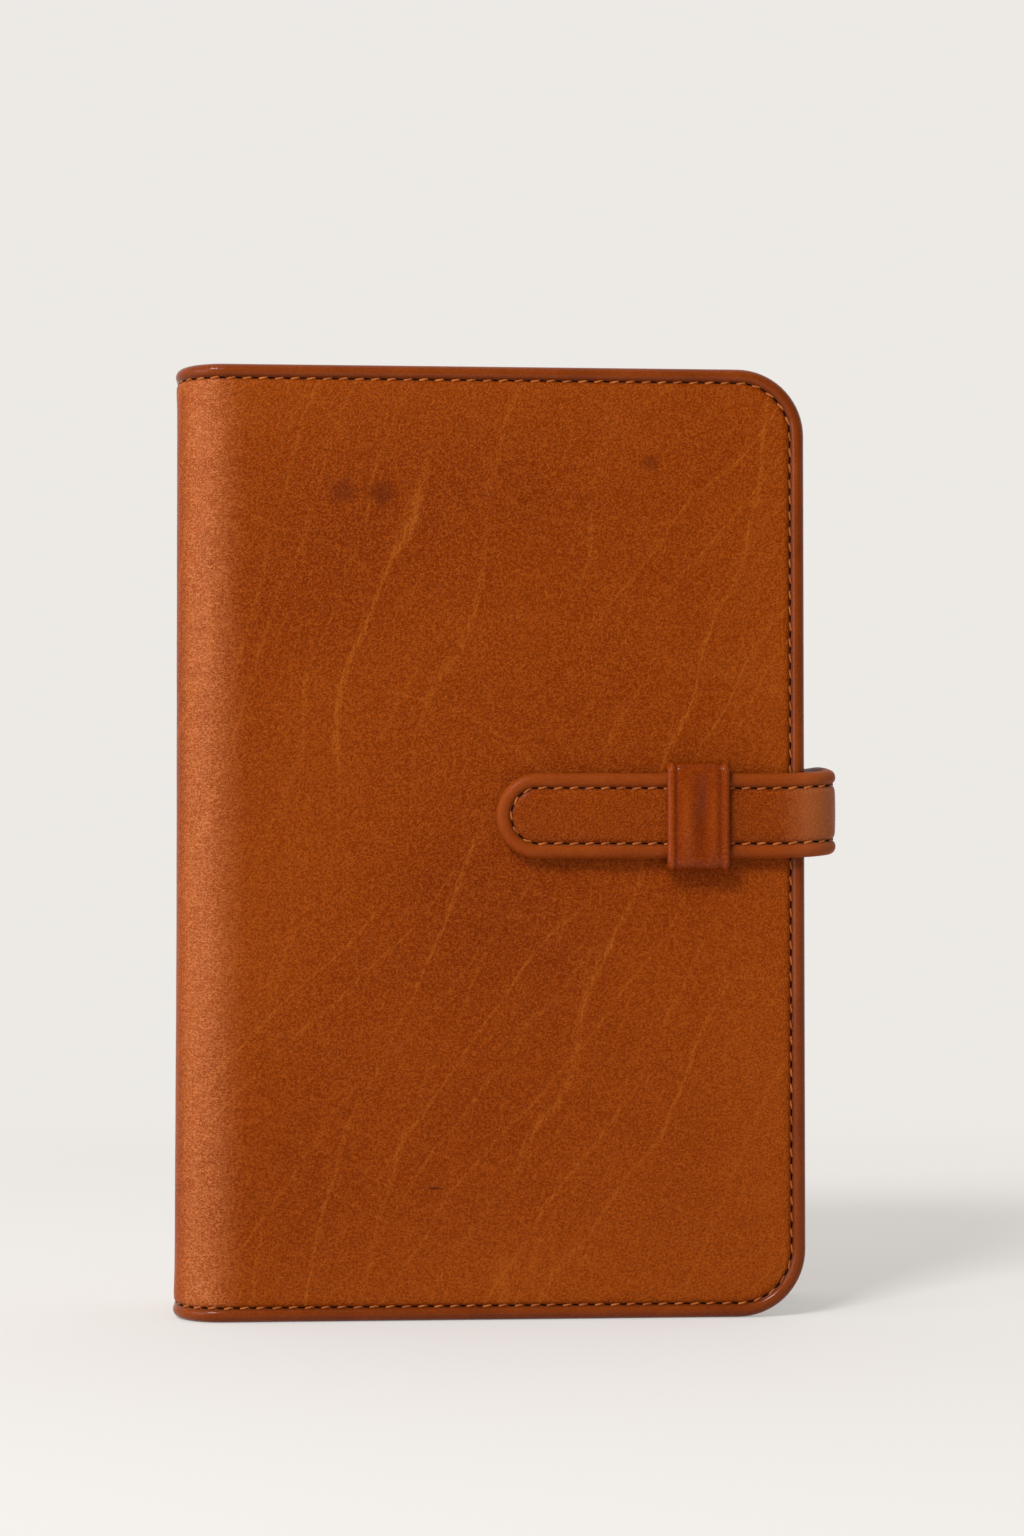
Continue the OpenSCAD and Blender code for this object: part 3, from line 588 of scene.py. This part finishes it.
def cover_wrap(name, side, seed):
    u, z, w, d, faces, ring = flap(COVER_L, COVER_H, CORNER_R, RIM, 140, 16, 176, True)
    outer = smoothstep(d, 3.0, 9.0) * (w > OUTSIDE)
    w = w + outer * smoothstep(u, 0.0, 14.0) * drape(u, z, seed)
    # the leather is drawn in a little between the beads on the bend and the spine
    draw = 0.14 + 0.46 * smoothstep(u, SPINE_HALF + FOLD_L * 0.15, SPINE_HALF + FOLD_L * 0.6)
    w = w - draw * outer * (1 - smoothstep(u, SPINE_HALF + FOLD_L * 0.55, SPINE_HALF + FOLD_L + 9))
    x, y, _, _ = cover_path(u, w, side)
    rim = 1 - smoothstep(d, 2.5, 3.1)
    edge = (1 - smoothstep(d, 3.0, 26.0)) * (1 - rim)
    # the groove share is painted shade in the sewn groove
    groove = smoothstep(d, 2.3, 2.75) * (1 - smoothstep(d, 3.05, 3.5)) * (w > OUTSIDE)
    fmat = [1 if r < RIM_BEAD else 0 for r in ring]
    return build(name, np.column_stack([x, y, z]), faces if side < 0 else flipped(faces),
                 [LEATHER, EDGE_LEATHER], fmat, {"rim": rim, "edge": edge, "groove": groove})


def cover_lining(name, side):
    u, z, w, d, faces, _ = flap(COVER_L, COVER_H, CORNER_R, LINING_RIM, 120, 12, 120, True)
    x, y, _, _ = cover_path(u, w, side)
    rim = (1 - smoothstep(d, 4.4, 5.2)) * 0.8
    return build(name, np.column_stack([x, y, z]), flipped(faces) if side < 0 else faces, [LINING],
                 attrs={"rim": rim})


def stitches(name, pts, nrm, pitch=STITCH_PITCH, length=2.25, slant=0.22, radius=0.21, rise=0.27,
             sink=0.3, hole_l=0.75, hole_w=0.33):
    """Sewing along points with surface normals: one slanted thread and, as painted shade, one dark awl hole
    disc per pitch.
    """
    pts, nrm = np.asarray(pts, float), np.asarray(nrm, float)
    seg = np.linalg.norm(np.diff(pts, axis=0), axis=1)
    s = np.concatenate([[0], np.cumsum(seg)])
    n = max(1, int(round(s[-1] / pitch)))
    step = s[-1] / n
    length = length * step / pitch

    def at(q):
        p = np.column_stack([np.interp(q, s, pts[:, k]) for k in range(3)])
        m = np.column_stack([np.interp(q, s, nrm[:, k]) for k in range(3)])
        return p, m / np.linalg.norm(m, axis=1)[:, None]

    verts, faces, fmat = [], [], []
    ring, along, hole_n = 7, 9, 10
    near = 0.2  # how far to each side the line's direction is taken
    ang = np.linspace(0, 2 * math.pi, ring, endpoint=False)
    for i in range(n):
        mid = (i + 0.5) * step
        q = mid + np.linspace(-0.5, 0.5, along) * length
        q = np.clip(q, 0, s[-1])
        p, m = at(q)
        p2, _ = at(np.clip(q + near, 0, s[-1]))
        p1, _ = at(np.clip(q - near, 0, s[-1]))
        t = p2 - p1
        t /= np.linalg.norm(t, axis=1)[:, None]
        b = np.cross(m, t)
        k = np.linspace(0, 1, along)
        h = -sink + (sink + rise - radius * 0.75) * np.sin(math.pi * k) ** 0.55
        r = radius * (0.55 + 0.45 * np.sin(math.pi * k) ** 0.5)
        wob = 0.05 * math.sin(i * 2.399)
        c = p + m * h[:, None] + b * (slant * 2 * (k - 0.5) + wob)[:, None]
        base = len(verts)
        for j in range(along):
            for a in ang:
                verts.append(c[j] + r[j] * (math.cos(a) * b[j] * 1.05 + math.sin(a) * m[j] * 0.8))
        for j in range(along - 1):
            for a in range(ring):
                a2 = (a + 1) % ring
                faces.append((base + j * ring + a, base + j * ring + a2,
                              base + (j + 1) * ring + a2, base + (j + 1) * ring + a))
                fmat.append(0)
        faces.append(tuple(base + a for a in reversed(range(ring))))
        faces.append(tuple(base + (along - 1) * ring + a for a in range(ring)))
        fmat += [0, 0]
        # painted shade: a dark disc at the end of the stitch stands for the awl hole
        pc, mc = at(np.array([min(mid + step * 0.5, s[-1])]))
        pa, _ = at(np.array([min(mid + step * 0.5 + near, s[-1])]))
        pb, _ = at(np.array([mid + step * 0.5 - near]))
        t1 = (pa - pb)[0]
        t1 /= np.linalg.norm(t1)
        m1 = mc[0]
        b1 = np.cross(m1, t1)
        t1, b1 = t1 - 0.3 * b1, b1 + 0.3 * t1
        base = len(verts)
        verts.append(pc[0] + m1 * 0.05)
        for a in np.linspace(0, 2 * math.pi, hole_n, endpoint=False):
            verts.append(pc[0] + t1 * hole_l * math.cos(a) + b1 * hole_w * math.sin(a) + m1 * 0.02)
        for a in range(hole_n):
            faces.append((base, base + 1 + a, base + 1 + (a + 1) % hole_n))
            fmat.append(1)
    return build(name, np.array(verts), faces, [THREAD, HOLE_SHADE], fmat)


def cover_stitches(name, side, inner):
    uz = outline(STITCH_IN, COVER_L, COVER_H, CORNER_R, 300, 40, 300)
    w = np.full(len(uz), -3.88 if inner else -0.5)
    x, y, nx, ny = cover_path(uz[:, 0], w, side)
    sgn = -1.0 if inner else 1.0
    nrm = np.column_stack([nx * sgn, ny * sgn, np.zeros(len(x))])
    return stitches(name, np.column_stack([x, y, uz[:, 1]]), nrm)


FRONT_IN, BACK_IN = Y_MID - HALF_T + PANEL_T, Y_MID + HALF_T - PANEL_T


def fold(obj):
    """Bakes the piece's placement into its points."""
    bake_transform(obj)


for side, tag in ((-1, "front"), (1, "back")):
    body = tag + "_cover"
    wrap = cover_wrap(tag + "_wrap", side, 0.4 if side < 0 else 2.3)
    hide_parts(tag + "_leather", tag + "_fold_leather")
    if side < 0:
        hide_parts("spine_leather")
    fold(wrap)
    inside = cover_lining(tag + "_inside", side)
    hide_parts(tag + "_lining", tag + "_fold_lining")
    if side < 0:
        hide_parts("spine_lining")
    fold(inside)
    sew = cover_stitches(tag + "_sewing", side, False)
    fold(sew)
    sew = cover_stitches(tag + "_sewing_inside", side, True)
    fold(sew)


def arc(cx, cz, r, a0, a1, n):
    a = np.radians(np.linspace(a0, a1, n))
    return np.column_stack([cx + r * np.cos(a), cz + r * np.sin(a)])


def resample(loop, step):
    """A closed loop with points at about the given step, without doubled points."""
    loop = np.vstack([loop, loop[:1]])
    seg = np.linalg.norm(np.diff(loop, axis=0), axis=1)
    keep = np.concatenate([[True], seg > 1e-6])
    loop = loop[keep]
    seg = np.linalg.norm(np.diff(loop, axis=0), axis=1)
    out = []
    for p, q, run in zip(loop[:-1], loop[1:], seg):
        n = max(1, int(round(run / step)))
        out += [p + (q - p) * k / n for k in range(n)]
    return np.array(out)


def inset(loop, d):
    """A counter-clockwise loop moved inwards by d.

    Points that would cross over at a corner go to the nearest one that doesn't.
    """
    t = np.roll(loop, -1, 0) - loop
    t /= np.linalg.norm(t, axis=1)[:, None]
    n = np.column_stack([-t[:, 1], t[:, 0]])
    m = n + np.roll(n, 1, 0)
    m /= np.maximum(np.sum(m * n, axis=1), 0.35)[:, None]
    moved = loop + d * m
    seg = np.roll(loop, -1, 0) - loop
    rel = moved[:, None] - loop[None]
    f = np.clip(np.sum(rel * seg[None], axis=2) / np.sum(seg * seg, axis=1)[None], 0, 1)
    away = np.linalg.norm(rel - f[..., None] * seg[None], axis=2).min(axis=1)
    k = np.arange(len(loop))
    good = k[away > d - 0.02]
    step = np.abs(k[:, None] - good[None])
    return moved[good[np.minimum(step, len(loop) - step).argmin(axis=1)]]


POCKET_T = 0.8
POCKET_EDGE = [(0.0, 0.0), (0.0, 0.45), (0.08, 0.64), (0.25, 0.77), (0.5, 0.8), (1.1, 0.82), (1.5, 0.76),
               (1.7, 0.68), (1.9, 0.76), (2.3, 0.8), (3.0, 0.8)]
POCKET_CREASE = 1.7


def pocket(name, loop, y0, side, sew):
    """Leather panel on the inside of a cover, with a rounded and creased edge.

    sew gives the stretches that are sewn.
    """
    loop = resample(loop, 1.2)
    n = len(loop)
    verts, faces = [], []
    for d, h in POCKET_EDGE:
        ring = inset(loop, d)
        verts.append(np.column_stack([ring[:, 0], np.full(n, y0 - side * h), ring[:, 1]]))
    for k in range(len(POCKET_EDGE) - 1):
        for i in range(n):
            j = (i + 1) % n
            faces.append((k * n + i, k * n + j, (k + 1) * n + j, (k + 1) * n + i))
    top = (len(POCKET_EDGE) - 1) * n
    faces.append(tuple(range(top, top + n)))
    rim = np.repeat([1.0 - min(1.0, d / POCKET_CREASE) for d, _ in POCKET_EDGE], n)
    obj = build(name, np.vstack(verts), flipped(faces) if side > 0 else faces, [LINING],
                attrs={"rim": rim * 0.8})
    rows = []
    for k, line in enumerate(sew):
        line = np.asarray(line, float)
        pts = np.column_stack([line[:, 0], np.full(len(line), y0 - side * POCKET_T), line[:, 1]])
        nrm = np.tile((0.0, -side, 0.0), (len(line), 1))
        rows.append(stitches(f"{name}_sewing_{k + 1}", pts, nrm, pitch=2.8, length=1.9, slant=0.1,
                             radius=0.2, rise=0.24, sink=0.25, hole_l=0.42, hole_w=0.17))
    return obj, rows


# slip pockets: box in x and z, corner radius; radius of the thumb notches; how far in the pockets are sewn
PX0, PX1, PZ0, PZ1, PR = -35.9, 54.1, 6.0, 184.0, 7.5
THUMB, POCKET_SEAM = 9.0, 2.4
# card pockets: box in x, foot, height of the lowest one, step to the next
CX0, CX1, CARD_Z0, CARD_H, CARD_STEP = PX0 + 1, PX1 - 1, 26.0, 60.0, 20.0
CARD_SEAM_Z = 28.4


def slip_loop(notch_z):
    """Pocket outline: rounded at the fore edge, with a wide shallow notch in the edge at the spine."""
    h = math.degrees(math.acos(0.5))
    return np.vstack([[(PX0, PZ0)], arc(PX1 - PR, PZ0 + PR, PR, -90, 0, 12),
                      arc(PX1 - PR, PZ1 - PR, PR, 0, 90, 12), [(PX0, PZ1)],
                      arc(PX0 - THUMB, notch_z, 2 * THUMB, h, -h, 28)])


def slip_sew():
    r = PR - POCKET_SEAM
    return [np.vstack([[(PX0 + 1, PZ0 + POCKET_SEAM)], arc(PX1 - PR, PZ0 + PR, r, -90, 0, 10),
                       arc(PX1 - PR, PZ1 - PR, r, 0, 90, 10), [(PX0 + 1, PZ1 - POCKET_SEAM)]])]


def card_loop(top):
    return np.vstack([[(CX0, CARD_Z0), (CX1, CARD_Z0), (CX1, top)],
                      arc((PX0 + PX1) / 2, top, THUMB, 0, -180, 28), [(CX0, top)]])


def card_sew(top, low):
    x0, x1 = CX0 + POCKET_SEAM, CX1 - POCKET_SEAM
    return [[(x0, top - 0.6), (x0, low)], [(x1, low), (x1, top - 0.6)]]


pocket_set = [("front_slip_pocket", slip_loop(155.0), FRONT_IN, -1, slip_sew(), "front_cover"),
              ("back_slip_pocket", slip_loop(95.0), BACK_IN, 1, slip_sew(), "back_cover")]
for level, tag in enumerate(("upper", "middle", "lower")):
    lowest = level == 2
    top = CARD_Z0 + CARD_H + (2 - level) * CARD_STEP
    low = CARD_SEAM_Z if lowest else top - CARD_STEP
    sew = card_sew(top, low + 0.4)
    if lowest:
        sew.append([(PX0 + 3.4, CARD_SEAM_Z), (PX1 - 3.4, CARD_SEAM_Z)])
    pocket_set.append(("card_pocket_" + tag, card_loop(top), FRONT_IN + POCKET_T * (level + 1), -1, sew,
                       "front_cover"))
for name, loop, y0, side, sew, body in pocket_set:
    panel, rows = pocket(name + "_leather", loop, y0, side, sew)
    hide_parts(name)
    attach(panel, body)
    for row in rows:
        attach(row, body)


# lengths along the strap: on the back, bend, along the fore edge, bend, tongue
SEGS = [STRAP_X1 - STRAP_X0, STRAP_R * math.pi / 2, STRAP_BACK_Y - STRAP_FRONT_Y - 2 * STRAP_R,
        STRAP_R * math.pi / 2, STRAP_X1 - STRAP_TIP]
ENDS = np.concatenate([[0], np.cumsum(SEGS)])
SPLIT = (ENDS[2] + ENDS[3]) / 2
STRAP_BULGE, STRAP_LIFT = 1.05, 1.9


def strap_path(v, w):
    """Point on the strap, how far it is lifted, and the direction in x and y that its face looks in.

    v runs from its sewn end on the back, round the fore edge, to the tip of the tongue.
    """
    v, w = np.asarray(v, float), np.asarray(w, float)
    p1 = np.clip((v - ENDS[1]) / STRAP_R, 0, math.pi / 2)
    p2 = np.clip((v - ENDS[3]) / STRAP_R, 0, math.pi / 2)
    ang = math.pi / 2 - p1 - p2
    nx, ny = np.cos(ang), np.sin(ang)
    yb, yf = STRAP_BACK_Y - STRAP_R, STRAP_FRONT_Y + STRAP_R
    cy = np.where(v > SPLIT, yf, yb)
    x = STRAP_X1 + STRAP_R * nx + np.minimum(v - ENDS[1], 0) - np.maximum(v - ENDS[4], 0)
    y = cy + STRAP_R * ny
    y = np.where((v > ENDS[2]) & (v < ENDS[3]), yb - (v - ENDS[2]), y)
    # the loop stands off a little and climbs towards the back
    bulge = smoothstep(v, ENDS[1] - 6, ENDS[2] + 9) * (1 - smoothstep(v, ENDS[3] - 9, ENDS[4] + 4))
    off = w + STRAP_BULGE * bulge
    lift = STRAP_LIFT * (1 - smoothstep(v, ENDS[3] - 18, ENDS[4] + 8))
    return x + off * nx, y + off * ny, lift, nx, ny


# section of the strap, from the middle of its lining round the edge to the middle of its face
STRAP_RIM = [(8.5, -2.62), (6.5, -2.62), (4.6, -2.62), (3.6, -2.6), (3.2, -2.5), (2.9, -2.5), (2.5, -2.6),
             (1.8, -2.62), (1.15, -2.52), (0.6, -2.3), (0.2, -1.92), (0.02, -1.5), (0.0, -1.2),
             (0.05, -0.88), (0.25, -0.45), (0.6, -0.1), (1.05, 0.1), (1.5, 0.18), (1.95, 0.14),
             (2.35, -0.04), (2.62, -0.28), (2.85, -0.5), (3.05, -0.54), (3.25, -0.4), (3.55, -0.14),
             (4.0, 0.02), (4.6, 0.08), (5.6, 0.12), (7.0, 0.15), (8.5, 0.16)]
STRAP_UNDER, STRAP_BEAD = 8, 21  # the bands of the section that end the lining and the burnished edge


def strap_piece(name, length, v_of):
    n_run = max(20, int(length / 0.8))
    u, z, w, d, faces, ring = flap(length, STRAP_W, STRAP_W / 2, STRAP_RIM, n_run, 18, 1, False)
    w = np.where(w > OUTSIDE, w + smoothstep(d, 3.2, 5) * 0.05 * np.sin(u * 0.21), w)
    x, y, lift, _, _ = strap_path(v_of(u), w)
    pts = np.column_stack([x, y, z - STRAP_W / 2 + STRAP_Z + lift])
    rim = 1 - smoothstep(d, 2.4, 3.0)
    # the groove share is painted shade in the sewn groove
    groove = smoothstep(d, 2.4, 2.8) * (1 - smoothstep(d, 3.1, 3.5)) * (w > OUTSIDE)
    fmat = [1 if r < STRAP_UNDER else 2 if r < STRAP_BEAD else 0 for r in ring]
    return build(name, pts, faces, [STRAP_LEATHER, LINING, STRAP_EDGE], fmat,
                 {"rim": rim, "edge": 0.4 * (1 - rim), "groove": groove})


def strap_sewing(name, length, v_of, inner):
    uz = outline(3.0, length, STRAP_W, STRAP_W / 2, 200, 30, 1)
    x, y, lift, nx, ny = strap_path(v_of(uz[:, 0]), np.full(len(uz), -2.5 if inner else -0.48))
    sgn = -1.0 if inner else 1.0
    pts = np.column_stack([x, y, uz[:, 1] - STRAP_W / 2 + STRAP_Z + lift])
    nrm = np.column_stack([sgn * nx, sgn * ny, np.zeros(len(x))])
    return stitches(name, pts, nrm, pitch=3.15)


for tag, length, v_of, a, b, gone in (
    ("tongue", ENDS[5] - SPLIT, lambda u: SPLIT + u, "strap_side", "strap_tongue",
     ("strap_tongue", "strap_tongue_lining", "strap_bend_front", "strap_bend_front_lining", "strap_side",
      "strap_side_lining")),
    ("anchor", SPLIT, lambda u: SPLIT - u, "back_cover", "strap_side",
     ("strap_anchor", "strap_anchor_lining", "strap_bend_back", "strap_bend_back_lining")),
):
    piece = strap_piece("strap_" + tag + "_leather", length, v_of)
    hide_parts(*gone)
    fold(piece)
    # the anchor's lining lies on the cover, so its sewing shows on the outside only
    for inner in (False, True) if tag == "tongue" else (False,):
        ending = "_sewing_inside" if inner else "_sewing"
        sew = strap_sewing("strap_" + tag + ending, length, v_of, inner)
        fold(sew)


# half the section of the keeper's outside, from its edge over the pinched rim to the middle
KEEPER_TOP = [(6.3, -0.72), (6.22, -0.4), (6.05, -0.16), (5.75, 0.06), (5.4, 0.16), (5.0, 0.13),
              (4.7, -0.01), (4.48, -0.13), (4.25, -0.11), (3.95, 0.0), (3.5, 0.08), (2.9, 0.1), (2.2, 0.06),
              (1.5, 0.0), (0.7, -0.03), (0.0, -0.04)]
KEEPER_SUNK = 0.25  # how far its legs go into the cover


def bell(x, middle, width):
    return math.exp(-((x - middle) / width) ** 2)


def keeper():
    """The keeper's band: a section carried along a path of y, z and the direction that the face looks in."""
    r = KEEPER_ROUND
    foot = Y_MID - HALF_T + KEEPER_SUNK
    legs = foot - (KEEPER_Y + r)
    path = []
    for k in np.linspace(0, 1, 6):
        path.append((foot - k * legs, KEEPER_Z0, 0.0, -1.0))
    for a in np.linspace(0, 90, 9)[1:]:
        c, s = math.cos(math.radians(a)), math.sin(math.radians(a))
        path.append((KEEPER_Y + r - r * s, KEEPER_Z0 + r - r * c, -s, -c))
    for k in np.linspace(0, 1, 26)[1:]:
        path.append((KEEPER_Y, KEEPER_Z0 + r + k * (KEEPER_Z1 - KEEPER_Z0 - 2 * r), -1.0, 0.0))
    for a in np.linspace(0, 90, 9)[1:]:
        c, s = math.cos(math.radians(a)), math.sin(math.radians(a))
        path.append((KEEPER_Y + r - r * c, KEEPER_Z1 - r + r * s, -c, s))
    for k in np.linspace(0, 1, 6)[1:]:
        path.append((KEEPER_Y + r + k * legs, KEEPER_Z1, 0.0, 1.0))
    path = np.array(path)
    half = KEEPER_W / 2
    over = [(-a, w) for a, w in KEEPER_TOP] + [(a, w) for a, w in reversed(KEEPER_TOP[:-1])]
    under = [(half - 0.05, -1.05), (half - 0.25, -1.32), (half - 0.7, -1.4), (3.0, -1.4), (-3.0, -1.4),
             (-half + 0.7, -1.4), (-half + 0.25, -1.32), (-half + 0.05, -1.05)]
    loop = over + under
    m = len(loop)
    verts, rim, edge = [], [], []
    for y, z, ny, nz in path:
        g = (z - KEEPER_Z0) / (KEEPER_Z1 - KEEPER_Z0)
        for k, (x, w) in enumerate(loop):
            # the face has a long dent between two soft swellings
            dent = 0.0
            if k < len(over):
                swell = math.sin(math.pi * min(max((g - 0.06) / 0.88, 0.0), 1.0)) ** 0.8
                dent = -0.5 * bell(x, 0.7, 1.05) * (0.5 + 0.5 * bell(g, 0.4, 0.3))
                dent += 0.16 * bell(x, -2.2, 1.2) + 0.14 * bell(x, 2.9, 0.9)
                dent += 0.06 * math.sin(3.1 * g + 0.8 * x) * math.exp(-(x / 4.5) ** 4)
                dent *= swell
            verts.append((KEEPER_X + x, y + ny * (w + dent), z + nz * (w + dent)))
            mid = math.sin(math.pi * min(max((g - 0.04) / 0.92, 0.0), 1.0)) ** 0.7
            # painted shade: the 'rim' share darkens the creases beside the raised rims and the long dent
            rim.append(0.5 * bell(abs(x), 4.45, 0.25) + mid * bell(x, 0.8, 0.9))
            # painted highlight: the 'edge' share pales the two swellings and the raised rims
            edge.append(1.6 * mid * (bell(x, -2.4, 1.2) + bell(x, 3.1, 0.8))
                        + 1.7 * bell(abs(x), 5.45, 0.4))
    faces = []
    for i in range(len(path) - 1):
        for k in range(m):
            j = (k + 1) % m
            faces.append((i * m + k, i * m + j, (i + 1) * m + j, (i + 1) * m + k))
    last = (len(path) - 1) * m
    faces.append(tuple(reversed(range(m))))
    faces.append(tuple(range(last, last + m)))
    return build("keeper_band", np.array(verts), faces, [KEEPER_LEATHER],
                 attrs={"rim": np.array(rim), "edge": np.array(edge)})


band = keeper()
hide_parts("keeper_loop")
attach(band, "front_cover")


def finish_of(name):
    """Material of a rigid node of the frame."""
    if name.startswith("page_section"):
        return PAPER
    if name.startswith("fly_leaf"):
        return PLAIN
    if name.startswith("divider"):
        return CARD
    if name == "page_marker":
        return PLASTIC
    if name.endswith("_board"):
        return BOARD
    return METAL


for name, obj in frame["nodes"].items():
    if obj.hide_render:
        continue
    obj.data.materials.clear()
    obj.data.materials.append(finish_of(name))

BACK = srgb(237, 234, 230)
FLOOR_LIT, FLOOR_SEEN = srgb(222, 216, 208), srgb(226, 224, 222)


def floor():
    """Round floor that keeps the object's shadow and turns into the plain backdrop further out, in metres."""
    n = 48
    r = np.geomspace(0.05, 8.0, 20)
    verts, faces = [(0.0, 0.0, 0.0)], []
    for q in r:
        for k in range(n):
            a = 2 * math.pi * k / n
            verts.append((q * math.cos(a), q * math.sin(a), 0.0))
    for k in range(n):
        faces.append((0, 1 + k, 1 + (k + 1) % n))
    for i in range(len(r) - 1):
        for k in range(n):
            j = (k + 1) % n
            faces.append((1 + i * n + k, 1 + (i + 1) * n + k, 1 + (i + 1) * n + j, 1 + i * n + j))
    mesh = bpy.data.meshes.new("floor")
    mesh.from_pydata(verts, [], faces)
    obj = bpy.data.objects.new("floor", mesh)
    bpy.context.scene.collection.objects.link(obj)
    mat = bpy.data.materials.new("studio_floor")
    mat.use_nodes = True
    t = mat.node_tree
    t.nodes.clear()
    out = t.nodes.new("ShaderNodeOutputMaterial")
    diff = t.nodes.new("ShaderNodeBsdfDiffuse")
    tone = t.nodes.new("ShaderNodeMix")
    tone.data_type = "RGBA"
    tone.inputs[6].default_value, tone.inputs[7].default_value = FLOOR_LIT, FLOOR_SEEN
    emit = t.nodes.new("ShaderNodeEmission")
    emit.inputs["Color"].default_value = BACK
    mixer = t.nodes.new("ShaderNodeMixShader")
    path = t.nodes.new("ShaderNodeLightPath")
    co = t.nodes.new("ShaderNodeTexCoord")
    ln = t.nodes.new("ShaderNodeVectorMath")
    ln.operation = "LENGTH"
    far = t.nodes.new("ShaderNodeMapRange")
    far.interpolation_type = "SMOOTHSTEP"
    for i, v in enumerate((0.16, 0.5, 0.45, 1.0)):
        far.inputs[i + 1].default_value = v
    both = t.nodes.new("ShaderNodeMath")
    both.operation = "MULTIPLY"
    seen = t.nodes.new("ShaderNodeMath")
    seen.operation = "MAXIMUM"
    t.links.new(path.outputs["Is Camera Ray"], seen.inputs[0])
    t.links.new(path.outputs["Is Glossy Ray"], seen.inputs[1])
    t.links.new(path.outputs["Is Camera Ray"], tone.inputs[0])
    t.links.new(tone.outputs[2], diff.inputs["Color"])
    t.links.new(co.outputs["Object"], ln.inputs[0])
    t.links.new(ln.outputs["Value"], far.inputs[0])
    t.links.new(far.outputs[0], both.inputs[0])
    t.links.new(seen.outputs[0], both.inputs[1])
    t.links.new(both.outputs[0], mixer.inputs[0])
    t.links.new(diff.outputs[0], mixer.inputs[1])
    t.links.new(emit.outputs[0], mixer.inputs[2])
    t.links.new(mixer.outputs[0], out.inputs[0])
    mesh.materials.append(mat)


def world():
    """Pale room behind and above the object, dim on the camera's side, and the plain backdrop itself."""
    w = bpy.data.worlds.new("studio")
    bpy.context.scene.world = w
    w.use_nodes = True
    t = w.node_tree
    t.nodes.clear()
    out = t.nodes.new("ShaderNodeOutputWorld")
    co = t.nodes.new("ShaderNodeTexCoord")
    sep = t.nodes.new("ShaderNodeSeparateXYZ")
    dim = t.nodes.new("ShaderNodeMapRange")
    dim.interpolation_type = "SMOOTHSTEP"
    for i, v in enumerate((-0.7, 0.3, 0.12, 0.84)):
        dim.inputs[i + 1].default_value = v
    t.links.new(co.outputs["Generated"], sep.inputs[0])
    t.links.new(sep.outputs[1], dim.inputs[0])
    light = t.nodes.new("ShaderNodeBackground")
    light.inputs["Color"].default_value = (1.0, 0.965, 0.925, 1.0)
    t.links.new(dim.outputs[0], light.inputs["Strength"])
    back = t.nodes.new("ShaderNodeBackground")
    back.inputs["Color"].default_value = BACK
    back.inputs["Strength"].default_value = 1.0
    path = t.nodes.new("ShaderNodeLightPath")
    seen = t.nodes.new("ShaderNodeMath")
    seen.operation = "MAXIMUM"
    t.links.new(path.outputs["Is Camera Ray"], seen.inputs[0])
    t.links.new(path.outputs["Is Transmission Ray"], seen.inputs[1])
    mixer = t.nodes.new("ShaderNodeMixShader")
    t.links.new(seen.outputs[0], mixer.inputs[0])
    t.links.new(light.outputs[0], mixer.inputs[1])
    t.links.new(back.outputs[0], mixer.inputs[2])
    t.links.new(mixer.outputs[0], out.inputs[0])


def lamp(name, loc, aim, size, size_y, power, colour):
    data = bpy.data.lights.new(name, "AREA")
    data.shape = "RECTANGLE"
    data.size, data.size_y = size, size_y
    data.energy = power
    data.color = colour
    obj = bpy.data.objects.new(name, data)
    obj.location = loc
    obj.rotation_mode = "QUATERNION"
    obj.rotation_quaternion = (Vector(aim) - Vector(loc)).to_track_quat("-Z", "Y")
    bpy.context.scene.collection.objects.link(obj)


def camera():
    """The photograph's view: a focal length of 3021 pixels in a picture 1536 pixels high."""
    data = bpy.data.cameras.new("camera")
    data.sensor_width = 36.0
    data.lens = 3021.0 / 1536.0 * data.sensor_width
    data.clip_start, data.clip_end = 0.01, 50.0
    obj = bpy.data.objects.new("camera", data)
    yaw, pitch = math.radians(4.10), math.radians(1.65)
    obj.location = (-0.0419, -0.617, 0.0922)
    look = Vector((math.sin(yaw) * math.cos(pitch), math.cos(yaw) * math.cos(pitch), math.sin(pitch)))
    obj.rotation_mode = "QUATERNION"
    obj.rotation_quaternion = look.to_track_quat("-Z", "Y")
    bpy.context.scene.collection.objects.link(obj)
    bpy.context.scene.camera = obj


floor()
world()
lamp("key", (-0.9, -1.35, 1.6), (0.0, 0.0, 0.06), 0.55, 0.55, 37.0, (1.0, 0.995, 0.985))
lamp("side", (-0.92, -0.5, 0.25), (-0.02, 0.0, 0.1), 0.65, 0.9, 6.2, (1.0, 0.99, 0.97))
camera()
bpy.context.scene.view_settings.view_transform = "Standard"
